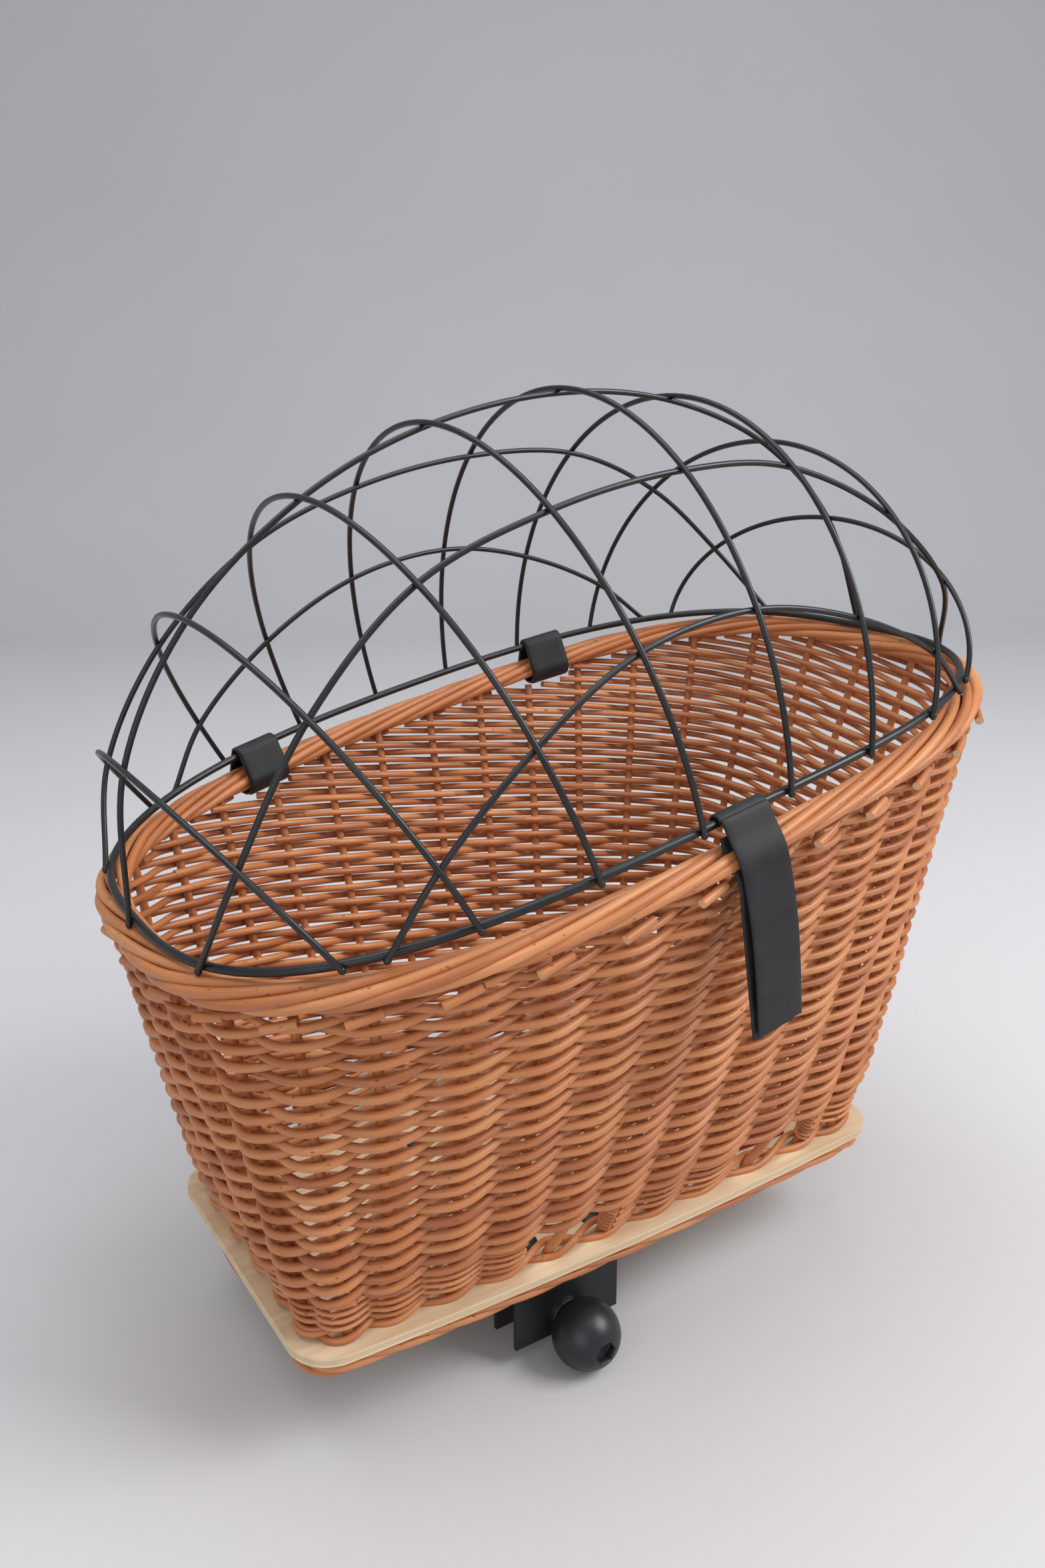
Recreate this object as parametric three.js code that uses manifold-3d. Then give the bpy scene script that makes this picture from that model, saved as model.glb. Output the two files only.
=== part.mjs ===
// Dog basket for the rear rack of a bicycle: a willow body on a plywood base, a hinged dome of
// welded wire and a screw clamp under the base. Lengths are millimetres and angles are degrees.
// +Z is up, +X runs along the basket towards its high end, and -Y is the side that opens.
import * as THREE from 'three';
import { mergeVertices } from 'three/addons/utils/BufferGeometryUtils.js';
import Module from 'manifold-3d';

const wasm = await Module();
wasm.setup();

// Fits
const seatGap = 0.3;
const runningGap = 0.5;
const cutOverrun = 5;
const weldTolerance = 1e-4;

// Plywood base
const boardLength = 458;
const boardWidth = 225;
const boardBow = 6;
const boardCorner = 28;
const boardThickness = 6;
const boardShift = -8;

// Willow body
const rimHalfLength = 285;
const rimHalfWidth = 188;
const rimRoundnessShare = 0.704;
const rimSlope = 11.1;
const rimHeight = 311;
const wallInset = 13;
const wallFlareShare = 0.88;
const borderWidth = 22;
const borderHeight = 17;
const walingWidth = 16;
const walingHeight = 8;
const footBorderWidth = 13;
const footBorderHeight = 12;
const footBorderInset = 9;

// Weave: willow rods pass before and behind upright stakes, whose places are shares of the way
// round the foot and round the top, from the high end turning left.
const stakeDiameter = 6.2;
const rodDiameter = 5.6;
const stakeFootShares = [
  0.018, 0.046, 0.074, 0.102, 0.13, 0.158, 0.187, 0.216, 0.245, 0.273, 0.302, 0.331,
  0.361, 0.391, 0.421, 0.452, 0.482, 0.512, 0.542, 0.566, 0.59, 0.614, 0.644, 0.674,
  0.704, 0.734, 0.768, 0.801, 0.842, 0.878, 0.906, 0.934, 0.962, 0.99,
];
const stakeTopShares = [
  -0.002, 0.03, 0.062, 0.094, 0.126, 0.158, 0.187, 0.216, 0.245, 0.273, 0.302, 0.331,
  0.36, 0.389, 0.418, 0.447, 0.476, 0.505, 0.534, 0.56, 0.586, 0.612, 0.642, 0.672,
  0.702, 0.732, 0.758, 0.783, 0.81, 0.838, 0.87, 0.902, 0.934, 0.966,
];

// Windows in the lower band of the opening side
const windowHeight = 24;
const leftWindow = { centre: -61, width: 64, lean: 9 };
const rightWindow = { centre: 108, width: 62, lean: 15 };

// Wire lid
const ringDiameter = 5;
const wireDiameter = 3.5;
const ringInset = 2.5;
const ringSag = 10;
const domeHeight = 213;
const domeHalfLength = 284;
const hoopFootShares = [0.11, 0.34, 0.567, 0.787];
const hoopTopShares = [0.168, 0.467, 0.744, 0.935];
const hoopFootDrop = 1.2;
const lowWireFootShare = 0.72;
const highWireFootShare = 0.963;
// How far up each hoop a long wire crosses it, as shares of the quarter turn from foot to top
const lowWireLiftShares = [0.1556, 0.2556, 0.3111, 0.3111, 0.2556, 0.1556];
const highWireLiftShares = [0.4444, 0.5444, 0.6, 0.5944, 0.5944, 0.6, 0.5444, 0.4444];

// Straps
const strapThickness = 2.4;
const hingeStrapWidth = 31;
const hingeStrapSlack = 1.2;
const hingeStrapBulge = 4;
const hingeStrapLift = 7;
const hingeStrapTwist = 3.8;
const hingeStrapSpread = 1;
const hingeStrapPlaces = { hinge_strap_left: -138, hinge_strap_right: 118 };
const closingStrapWidth = 33;
const closingStrapPlace = -4;
const closingStrapLength = 127;
const closingStrapBillow = 3;
const closingStrapCurlShare = 0.8;

// Clamp under the base
const sheetThickness = 3;
const clampCentre = -50;
const clampWidth = 80;
const lugFace = -97;
const lugReach = 10;
const fixedJawFace = 68;
const fixedJawWidth = 220;
const fixedJawDepth = 30;
const railGrip = 9;
const railDrop = 13;
const railPadDepth = 1;
const railPadLength = 70;
const railPadCentre = -5;
const movingJawFace = -70;
const movingJawTail = 12;
const spindleDiameter = 8;
const spindleDrop = 52.5;
const spindleOverhang = 6;
const knobDiameter = 45;
const knobFaceDiameter = 22;
const knobBoreDepth = 18;
const knobSocketWidth = 13;
const knobSocketDepth = 7;
const washerDiameter = 24;
const washerThickness = 1.6;
const collarDiameter = 16;
const collarLength = 6;
const jawNutWidth = 13;
const jawNutLength = 6.5;
const boltDiameter = 6;
const boltHeadDiameter = 16;
const boltHeadHeight = 3.5;
const boltTail = 4;
const nutWidth = 10;
const nutHeight = 5;
const frontBoltSpacing = 50;
const frontBoltRow = -86;
const backBoltSpacing = 160;
const backBoltRow = 52;

// Safety leash on the floor of the basket
const webbingWidth = 30;
const webbingThickness = 2.5;
const webbingRoute = [[-165, -46], [-110, -53], [-60, -58], [10, -62], [70, -66], [115, -70], [150, -71]];
const webbingRipple = 1.5;
const anchorDiameter = 5;
const anchorHeadDiameter = 14;
const anchorHeadHeight = 3;
const anchorDepth = 4;
const anchorSetback = 14;

// Facets
const aroundBody = 68;
const ribSteps = 4;
const wallLevels = 3;
const roundSides = 24;
const smallSides = 12;
const wireSides = 6;
const hoopSteps = 26;
const longWireSteps = 40;
const sphereSteps = 9;

// Levels that follow from the sizes above; the knob's lowest point stands on the ground.
const knobRadius = knobDiameter / 2;
const spindleRadius = spindleDiameter / 2;
const spindleHeight = knobRadius;
const boardUnderside = spindleHeight + spindleDrop;
const boardTop = boardUnderside + boardThickness;
const walingTop = boardTop + seatGap + walingHeight;
const wallFoot = walingTop + seatGap;
const windowTop = wallFoot + windowHeight;
const rimCentreHeight = boardUnderside + rimHeight;
const webTop = boardUnderside - seatGap;
const webUnderside = webTop - sheetThickness;
const slope = THREE.MathUtils.degToRad(rimSlope);

// Levels in the sloping plane of the rim, measured square to it from the middle of the lid's ring
const ringRadius = ringDiameter / 2;
const wireRadius = wireDiameter / 2;
const rimSquareness = 2 / rimRoundnessShare;
const borderTop = -(ringSag + ringRadius + seatGap);
const borderCentre = borderTop - borderHeight / 2;
const wallTop = borderTop - borderHeight - seatGap;

// The weave is thickest where rods ride over a stake and thinnest where they cross halfway.
const weaveReach = stakeDiameter / 2 + rodDiameter;
const weaveWaist = rodDiameter / 2;

const finishes = {
  willow: { color: 0xb5713f, roughness: 0.55, metalness: 0 },
  plywood: { color: 0xd9c4a0, roughness: 0.6, metalness: 0 },
  blackWire: { color: 0x121416, roughness: 0.32, metalness: 0.4 },
  blackSheet: { color: 0x15171a, roughness: 0.45, metalness: 0.4 },
  steel: { color: 0x9a9ea3, roughness: 0.35, metalness: 0.9 },
  blackLeather: { color: 0x17181b, roughness: 0.5, metalness: 0 },
  blackPlastic: { color: 0x1c2226, roughness: 0.4, metalness: 0 },
  crimsonWebbing: { color: 0x9c1238, roughness: 0.85, metalness: 0 },
};

const basket = new THREE.Group();

// The rim's own frame: x runs up the slope and z stands square to it.
const rimFrame = new THREE.Group();
rimFrame.position.set(0, 0, rimCentreHeight);
rimFrame.rotation.y = -slope;
basket.add(rimFrame);

function addPiece(name, geometry, finish, parent = basket) {
  const mesh = new THREE.Mesh(geometry, new THREE.MeshStandardMaterial(finish));
  mesh.name = name;
  parent.add(mesh);
  return mesh;
}

// A welded copy of a geometry, with its faces turned outwards.
function weld(geometry) {
  const bare = geometry.clone();
  bare.deleteAttribute('normal');
  bare.deleteAttribute('uv');
  const welded = mergeVertices(bare, weldTolerance);
  const index = welded.index.array;
  const corners = [new THREE.Vector3(), new THREE.Vector3(), new THREE.Vector3()];
  let volume = 0;
  for (let face = 0; face < index.length; face += 3) {
    corners.forEach((corner, k) => corner.fromBufferAttribute(welded.attributes.position, index[face + k]));
    volume += corners[0].dot(corners[1].cross(corners[2]));
  }
  if (volume < 0) {
    for (let face = 0; face < index.length; face += 3) {
      [index[face], index[face + 1]] = [index[face + 1], index[face]];
    }
  }
  welded.computeVertexNormals();
  return welded;
}

function toSolid(geometry) {
  const welded = weld(geometry);
  const vertProperties = new Float32Array(welded.attributes.position.array);
  const triVerts = new Uint32Array(welded.index.array);
  return new wasm.Manifold(new wasm.Mesh({ numProp: 3, vertProperties, triVerts }));
}

function toGeometry(solid) {
  const mesh = solid.getMesh();
  const geometry = new THREE.BufferGeometry();
  geometry.setAttribute('position', new THREE.BufferAttribute(mesh.vertProperties, 3));
  geometry.setIndex(new THREE.BufferAttribute(mesh.triVerts, 1));
  geometry.computeVertexNormals();
  return geometry;
}

function cut(geometry, ...tools) {
  return toGeometry(tools.reduce((rest, tool) => rest.subtract(toSolid(tool)), toSolid(geometry)));
}

function join(...geometries) {
  return toGeometry(geometries.map(toSolid).reduce((whole, next) => whole.add(next)));
}

// A closed skin over rows of points. A looped run of rows meets itself; an open one is capped.
function skin(rows, looped) {
  const sides = rows[0].length;
  const index = [];
  const spans = looped ? rows.length : rows.length - 1;
  for (let row = 0; row < spans; row += 1) {
    const next = (row + 1) % rows.length;
    for (let side = 0; side < sides; side += 1) {
      const a = row * sides + side;
      const b = row * sides + (side + 1) % sides;
      const c = next * sides + (side + 1) % sides;
      const d = next * sides + side;
      index.push(a, b, c, a, c, d);
    }
  }
  if (!looped) {
    const last = (rows.length - 1) * sides;
    for (let side = 1; side < sides - 1; side += 1) {
      index.push(0, side + 1, side, last, last + side, last + side + 1);
    }
  }
  const geometry = new THREE.BufferGeometry().setFromPoints(rows.flat());
  geometry.setIndex(index);
  return weld(geometry);
}

// The plan of the rim: between an ellipse and a rectangle, starting at +X and turning left.
class SquaredEllipse extends THREE.Curve {
  constructor(halfLength, halfWidth) {
    super();
    this.halfLength = halfLength;
    this.halfWidth = halfWidth;
    this.arcLengthDivisions = 1600;
  }

  getPoint(t, target = new THREE.Vector2()) {
    const angle = t * 2 * Math.PI;
    const along = Math.sign(Math.cos(angle)) * Math.abs(Math.cos(angle)) ** rimRoundnessShare;
    const across = Math.sign(Math.sin(angle)) * Math.abs(Math.sin(angle)) ** rimRoundnessShare;
    return target.set(this.halfLength * along, this.halfWidth * across);
  }

  // The half width where the outline crosses a place along its length.
  widthAt(x) {
    const share = Math.abs(x) / this.halfLength;
    return this.halfWidth * (1 - share ** rimSquareness) ** (1 / rimSquareness);
  }

  // The unit vector that points out of the outline at a place on its +Y half.
  outAt(x) {
    const y = this.widthAt(x);
    const power = rimSquareness - 1;
    const along = Math.sign(x) * (Math.abs(x) / this.halfLength) ** power / this.halfLength;
    const across = (y / this.halfWidth) ** power / this.halfWidth;
    return new THREE.Vector2(along, across).normalize();
  }
}

// The plan of the base: bowed long sides and round corners, starting at +X and turning left.
function boardOutline(inset, shape = new THREE.Shape()) {
  const x = boardLength / 2 - inset;
  const y = boardWidth / 2 - inset;
  const radius = boardCorner - inset;
  const crown = y + 2 * boardBow;
  shape.moveTo(x, 0);
  shape.lineTo(x, y - radius);
  shape.absarc(x - radius, y - radius, radius, 0, Math.PI / 2);
  shape.quadraticCurveTo(0, crown, radius - x, y);
  shape.absarc(radius - x, y - radius, radius, Math.PI / 2, Math.PI);
  shape.lineTo(-x, radius - y);
  shape.absarc(radius - x, radius - y, radius, Math.PI, Math.PI * 1.5);
  shape.quadraticCurveTo(0, -crown, x - radius, -y);
  shape.absarc(x - radius, radius - y, radius, -Math.PI / 2, 0);
  shape.lineTo(x, 0);
  return shape;
}

function circlePath(x, y, radius) {
  return new THREE.Path().absarc(x, y, radius, 0, Math.PI * 2, true);
}

function polygonShape(sides, radius) {
  const corners = [];
  for (let side = 0; side < sides; side += 1) {
    const angle = 2 * Math.PI * side / sides;
    corners.push(new THREE.Vector2(radius * Math.cos(angle), radius * Math.sin(angle)));
  }
  return new THREE.Shape(corners);
}

// An oval with corners at its highest and lowest points, so that it keeps its full height.
function ovalProfile(width, height, sides) {
  return polygonShape(sides, 1).getPoints().slice(0, sides)
    .map((point) => new THREE.Vector2(point.y * width / 2, point.x * height / 2));
}

function plate(shape, depth) {
  return new THREE.ExtrudeGeometry(shape, { depth, bevelEnabled: false, curveSegments: smallSides / 2 });
}

function outwardNormals(points) {
  return points.map((point, i) => {
    const before = points.at(i - 1);
    const after = points[(i + 1) % points.length];
    return new THREE.Vector2(after.y - before.y, before.x - after.x).normalize();
  });
}

function evenPoints(outline, count = aroundBody) {
  return outline.getSpacedPoints(count).slice(0, count);
}

// A profile carried once around an outline; its x points outwards and its y points up.
function carryAround(outline, profile, heightAt = () => 0) {
  const points = evenPoints(outline);
  const normals = outwardNormals(points);
  const rows = points.map((point, i) => profile.map((corner) => new THREE.Vector3(
    point.x + normals[i].x * corner.x,
    point.y + normals[i].y * corner.x,
    heightAt(point.x) + corner.y,
  )));
  return skin(rows, true);
}

function roundBar(diameter, length, sides = roundSides) {
  return new THREE.CylinderGeometry(diameter / 2, diameter / 2, length, sides);
}

// A turned piece about Y from pairs of radius and height.
function turned(profile, sides = roundSides) {
  return new THREE.LatheGeometry(profile.map(([radius, height]) => new THREE.Vector2(radius, height)), sides);
}

function bush(outerDiameter, boreDiameter, length) {
  const outer = outerDiameter / 2;
  const bore = boreDiameter / 2;
  return turned([[bore, 0], [outer, 0], [outer, length], [bore, length], [bore, 0]], 3 * smallSides / 2);
}

function hexNut(acrossFlats, boreDiameter, length) {
  const shape = polygonShape(6, acrossFlats / Math.sqrt(3));
  shape.holes.push(circlePath(0, 0, boreDiameter / 2));
  return plate(shape, length);
}

// A strip of even thickness bent along a line of points.
function bentStrip(line, thickness) {
  const half = thickness / 2;
  const edge = (side) => line.map((point, i) => {
    const before = line[Math.max(i - 1, 0)];
    const after = line[Math.min(i + 1, line.length - 1)];
    const into = point.clone().sub(before).normalize();
    const from = after.clone().sub(point).normalize();
    const along = into.add(from).normalize();
    const leg = after.clone().sub(point.equals(after) ? before : point).normalize();
    const mitre = half / Math.max(Math.abs(along.dot(leg)), 0.5);
    return new THREE.Vector2(point.x - side * along.y * mitre, point.y + side * along.x * mitre);
  });
  return new THREE.Shape([...edge(1), ...edge(-1).reverse()]);
}

// Turns a plate drawn in (y, z) so that its depth runs along X, centred on a place.
function standAcross(geometry, width, centre) {
  const placed = geometry.clone();
  placed.applyMatrix4(new THREE.Matrix4().set(
    0, 0, 1, centre - width / 2,
    1, 0, 0, 0,
    0, 1, 0, 0,
    0, 0, 0, 1,
  ));
  return weld(placed);
}

function addBoard() {
  const shape = boardOutline(0);
  for (const [x, y] of boltPlaces()) {
    shape.holes.push(circlePath(x - boardShift, y, boltDiameter / 2 + seatGap));
  }
  const anchor = anchorPlace();
  shape.holes.push(circlePath(anchor.x - boardShift, anchor.y, anchorDiameter / 2 + seatGap));
  const board = addPiece('base_board', weld(plate(shape, boardThickness)), finishes.plywood);
  board.position.set(boardShift, 0, boardUnderside);
}

function addBorders() {
  const foot = carryAround(
    boardOutline(footBorderInset),
    ovalProfile(footBorderWidth, footBorderHeight, smallSides / 2),
  );
  addPiece('foot_border', foot, finishes.willow)
    .position.set(boardShift, 0, boardUnderside - seatGap - footBorderHeight / 2);

  const waling = carryAround(boardOutline(wallInset), ovalProfile(walingWidth, walingHeight, smallSides / 2));
  addPiece('lower_waling', waling, finishes.willow)
    .position.set(boardShift, 0, boardTop + seatGap + walingHeight / 2);

  const rim = carryAround(
    new SquaredEllipse(rimHalfLength, rimHalfWidth),
    ovalProfile(borderWidth, borderHeight, roundSides / 3),
  );
  addPiece('top_border', rim, finishes.willow, rimFrame).position.z = borderCentre;
}

// The points of an outline at each stake and at even steps between one stake and the next.
function ribPoints(outline, stakeShares) {
  return stakeShares.flatMap((share, stake) => {
    const next = stake + 1 < stakeShares.length ? stakeShares[stake + 1] : stakeShares[0] + 1;
    return Array.from({ length: ribSteps }, (_, step) => {
      const place = THREE.MathUtils.lerp(share, next, step / ribSteps);
      return outline.getPointAt(THREE.MathUtils.euclideanModulo(place, 1));
    });
  });
}

// The woven wall: each stake makes an upright rib, inside and out, and runs straight from its place
// on the base to its place on the rim, while the plan swells a little faster near the foot.
function wallShell() {
  const foot = ribPoints(boardOutline(wallInset), stakeFootShares);
  const rim = ribPoints(new SquaredEllipse(rimHalfLength, rimHalfWidth), stakeTopShares);
  const footOut = outwardNormals(foot);
  const rimOut = outwardNormals(rim);
  const slopeAxis = new THREE.Vector3(0, 1, 0);
  const pointAt = (i, level, side) => {
    const share = level / wallLevels;
    const flare = share ** wallFlareShare;
    const top = new THREE.Vector3(rim[i].x, rim[i].y, wallTop).applyAxisAngle(slopeAxis, -slope);
    const out = footOut[i].clone().lerp(rimOut[i], share).normalize();
    const rib = Math.abs(Math.cos(Math.PI * i / ribSteps));
    const across = side * THREE.MathUtils.lerp(weaveWaist, weaveReach, rib);
    return new THREE.Vector3(
      THREE.MathUtils.lerp(foot[i].x + boardShift, top.x, flare) + out.x * across,
      THREE.MathUtils.lerp(foot[i].y, top.y, flare) + out.y * across,
      THREE.MathUtils.lerp(wallFoot, rimCentreHeight + top.z, share) + share * out.x * across * Math.tan(slope),
    );
  };
  const rows = foot.map((_, i) => {
    const row = [];
    for (let level = 0; level <= wallLevels; level += 1) row.push(pointAt(i, level, 1));
    for (let level = wallLevels; level >= 0; level -= 1) row.push(pointAt(i, level, -1));
    return row;
  });
  return skin(rows, true);
}

function windowCutter({ centre, width }) {
  const depth = 2 * weaveReach + 4 * cutOverrun;
  const height = windowHeight + cutOverrun;
  const box = new THREE.BoxGeometry(width, depth, height);
  return box.translate(centre, -(boardWidth / 2 + boardBow - wallInset + cutOverrun), windowTop - height / 2);
}

// The slot under the border through which a hinge strap returns.
function strapSlot(place) {
  const height = strapThickness + hingeStrapSlack + runningGap + cutOverrun;
  const slot = new THREE.BoxGeometry(hingeStrapWidth + 2 * runningGap, 2 * borderWidth, height);
  slot.translate(0, 0, wallTop + cutOverrun - height / 2);
  const outline = new SquaredEllipse(rimHalfLength, rimHalfWidth);
  const out = outline.outAt(place);
  slot.applyMatrix4(new THREE.Matrix4().makeRotationZ(Math.atan2(out.y, out.x) - Math.PI / 2));
  slot.translate(place, outline.widthAt(place), 0);
  rimFrame.updateMatrixWorld(true);
  return slot.applyMatrix4(rimFrame.matrixWorld);
}

function addWall() {
  const slots = Object.values(hingeStrapPlaces).map(strapSlot);
  const wall = cut(wallShell(), windowCutter(leftWindow), windowCutter(rightWindow), ...slots);
  addPiece('woven_wall', wall, finishes.willow);
}

function addWindowStake(name, { centre, lean }) {
  const height = windowHeight + seatGap - 2 * seatGap;
  const length = Math.hypot(height, lean) - stakeDiameter * Math.abs(lean) / height;
  const stake = addPiece(name, weld(roundBar(stakeDiameter, length, smallSides)), finishes.willow);
  stake.rotation.order = 'ZYX';
  stake.rotation.x = Math.PI / 2;
  stake.rotation.y = Math.atan2(lean, height);
  const y = boardWidth / 2 + boardBow - wallInset;
  stake.position.set(centre, -y, (walingTop + windowTop) / 2);
}

// The lid's ring: the rim's plan drawn in a little, with its two ends bent down onto the border.
const ringOutline = new SquaredEllipse(rimHalfLength - ringInset, rimHalfWidth - ringInset);
const ringHeightAt = (x) => -ringSag * (x / ringOutline.halfLength) ** 2;

// Wires are welded to the outer side of the ring, so their feet stand one weld gap outside it.
function footPoint(share, side) {
  const x = ringOutline.halfLength * share;
  const reach = ringRadius + wireRadius + seatGap;
  if (Math.abs(share) === 1) {
    return new THREE.Vector3(x + Math.sign(share) * reach, 0, ringHeightAt(x) - hoopFootDrop);
  }
  const out = ringOutline.outAt(x);
  return new THREE.Vector3(
    x + out.x * reach,
    side * (ringOutline.widthAt(x) + out.y * reach),
    ringHeightAt(x) - hoopFootDrop,
  );
}

// Half an ellipse from the front foot over the top to the back foot, leaning towards the end.
class Hoop extends THREE.Curve {
  constructor(footShare, topShare) {
    super();
    const foot = footPoint(footShare, 1);
    const top = new THREE.Vector3(domeHalfLength * topShare, 0, domeHeight * Math.sqrt(1 - topShare ** 2));
    this.middle = new THREE.Vector3(foot.x, 0, foot.z);
    this.halfWidth = foot.y;
    this.rise = top.sub(this.middle);
  }

  getPoint(t, target = new THREE.Vector3()) {
    return this.pointAtLift(2 * t, -1, 0, target);
  }

  // A point at a share of the quarter turn up from one side, drawn in towards the hoop's middle.
  pointAtLift(liftShare, side, depth, target = new THREE.Vector3()) {
    const angle = liftShare * Math.PI / 2;
    const height = this.rise.length();
    const across = side * (this.halfWidth - depth) * Math.cos(angle);
    const up = (height - depth) * Math.sin(angle) / height;
    return target.copy(this.middle).addScaledVector(this.rise, up).setY(across);
  }
}

function wireAlong(curve, steps) {
  const extrudePath = curve;
  const shape = polygonShape(wireSides, wireRadius);
  return weld(new THREE.ExtrudeGeometry(shape, { steps, extrudePath, bevelEnabled: false }));
}

function hoopSet() {
  const hoop = (side) => (share, i) => new Hoop(side * share, side * hoopTopShares[i]);
  return [...hoopFootShares.map(hoop(-1)).reverse(), ...hoopFootShares.map(hoop(1))];
}

// A long wire starts and ends outside the ring and is tied under each hoop that it passes.
function longWireCurve(hoops, side, footShare, liftShares) {
  const under = wireDiameter + seatGap;
  const missed = (hoops.length - liftShares.length) / 2;
  const ties = liftShares.map((lift, i) => hoops[i + missed].pointAtLift(lift, side, under));
  const points = [footPoint(-footShare, side), ...ties, footPoint(footShare, side)];
  return new THREE.CatmullRomCurve3(points, false, 'centripetal');
}

function addLid() {
  const hoops = hoopSet();
  const ringProfile = polygonShape(wireSides, ringRadius).getPoints().slice(0, wireSides);
  const ring = carryAround(ringOutline, ringProfile, ringHeightAt);
  addPiece('lid_ring', ring, finishes.blackWire, rimFrame);
  hoops.forEach((hoop, i) => {
    addPiece(`hoop_${i + 1}`, wireAlong(hoop, hoopSteps), finishes.blackWire, rimFrame);
  });
  const ridgeLiftShares = hoops.map(() => 1);
  const longWires = {
    long_wire_back_low: [1, lowWireFootShare, lowWireLiftShares],
    long_wire_back_high: [1, highWireFootShare, highWireLiftShares],
    long_wire_ridge: [1, 1, ridgeLiftShares],
    long_wire_front_high: [-1, highWireFootShare, highWireLiftShares],
    long_wire_front_low: [-1, lowWireFootShare, lowWireLiftShares],
  };
  for (const [name, course] of Object.entries(longWires)) {
    addPiece(name, wireAlong(longWireCurve(hoops, ...course), longWireSteps), finishes.blackWire, rimFrame);
  }
}

// The outline of a strap round the border and the ring's wire, at a distance from both. It bulges into
// the basket and stands over the ring, which rises and twists inside it as the lid opens.
function wrapOutline(place, distance) {
  const steps = roundSides;
  const ringAcross = ringOutline.widthAt(place) - new SquaredEllipse(rimHalfLength, rimHalfWidth).widthAt(place);
  const ringRoom = ringRadius + hingeStrapTwist + distance;
  const points = [];
  for (let step = 0; step < steps; step += 1) {
    const angle = 2 * Math.PI * step / steps;
    const wide = Math.cos(angle);
    const high = Math.sin(angle);
    points.push(new THREE.Vector2(
      ringAcross + hingeStrapSpread + ringRoom * wide,
      ringHeightAt(place) + hingeStrapLift + ringRoom * high,
    ));
    points.push(new THREE.Vector2(
      (borderWidth / 2 + distance) * wide - (wide < 0 ? hingeStrapBulge : 0),
      borderCentre + (borderHeight / 2 + distance) * high,
    ));
  }
  return convexOutline(points);
}

// The smallest convex outline round a set of points, turning left.
function convexOutline(points) {
  const sorted = [...points].sort((a, b) => a.x - b.x || a.y - b.y);
  const turn = (a, b, c) => (b.x - a.x) * (c.y - a.y) - (b.y - a.y) * (c.x - a.x);
  const half = (list) => {
    const chain = [];
    for (const point of list) {
      while (chain.length > 1 && turn(chain.at(-2), chain.at(-1), point) <= 0) chain.pop();
      chain.push(point);
    }
    return chain.slice(0, -1);
  };
  return [...half(sorted), ...half(sorted.reverse())];
}

function addHingeStraps() {
  const rim = new SquaredEllipse(rimHalfLength, rimHalfWidth);
  for (const [name, place] of Object.entries(hingeStrapPlaces)) {
    const shape = new THREE.Shape(wrapOutline(place, hingeStrapSlack + strapThickness));
    shape.holes.push(new THREE.Path(wrapOutline(place, hingeStrapSlack)));
    const band = standAcross(plate(shape, hingeStrapWidth), hingeStrapWidth, 0);
    const strap = addPiece(name, band, finishes.blackLeather, rimFrame);
    const out = rim.outAt(place);
    strap.rotation.z = Math.atan2(out.y, out.x) - Math.PI / 2;
    strap.position.set(place, rim.widthAt(place), 0);
  }
}

// The closing strap: an eye round the ring's front wire and a doubled tail that falls outside the border.
function addClosingStrap() {
  const eyeBore = ringRadius + runningGap;
  const tailThickness = 2 * strapThickness - runningGap;
  const borderOut = rimHalfWidth + borderWidth / 2 - ringOutline.halfWidth + runningGap + tailThickness / 2;
  const drop = borderTop - borderHeight;
  const line = new THREE.SplineCurve([
    new THREE.Vector2(0, eyeBore + strapThickness / 2),
    new THREE.Vector2(-borderOut / 2, borderTop / 4),
    new THREE.Vector2(-borderOut - closingStrapBillow / 3, borderTop),
    new THREE.Vector2(-borderOut - closingStrapBillow, drop),
    new THREE.Vector2(-borderOut - closingStrapBillow, -closingStrapLength / 2),
    new THREE.Vector2(-borderOut, -closingStrapLength * closingStrapCurlShare),
    new THREE.Vector2(-borderOut + closingStrapBillow, -closingStrapLength),
  ]).getPoints(roundSides);
  const tail = plate(bentStrip(line, tailThickness), closingStrapWidth);
  const eye = plate(new THREE.Shape().absarc(0, 0, eyeBore + strapThickness, 0, Math.PI * 2), closingStrapWidth);
  const bore = plate(new THREE.Shape().absarc(0, 0, eyeBore, 0, Math.PI * 2), closingStrapWidth + 2 * cutOverrun);
  bore.translate(0, 0, -cutOverrun);
  const strap = cut(join(tail, eye), bore);
  const band = standAcross(strap, closingStrapWidth, 0);
  addPiece('closing_strap', band, finishes.blackLeather, rimFrame)
    .position.set(closingStrapPlace, -ringOutline.widthAt(closingStrapPlace), ringHeightAt(closingStrapPlace));
}

function boltPlaces() {
  return [
    [clampCentre - frontBoltSpacing / 2, frontBoltRow],
    [clampCentre + frontBoltSpacing / 2, frontBoltRow],
    [-backBoltSpacing / 2, backBoltRow],
    [backBoltSpacing / 2, backBoltRow],
  ];
}

// The bent line of a jaw: down from the web, round the rack's rail and on down.
function jawLine(face, side, top, bottom) {
  const rail = webUnderside - railDrop;
  const middle = face + side * sheetThickness / 2;
  return [
    new THREE.Vector2(middle, top),
    new THREE.Vector2(middle, rail + railGrip),
    new THREE.Vector2(middle + side * railGrip, rail),
    new THREE.Vector2(middle, rail - railGrip),
    new THREE.Vector2(middle, bottom),
  ];
}

function spindleHole(length, y) {
  return roundBar(spindleDiameter + 2 * runningGap, length).translate(clampCentre, y, spindleHeight);
}

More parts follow.
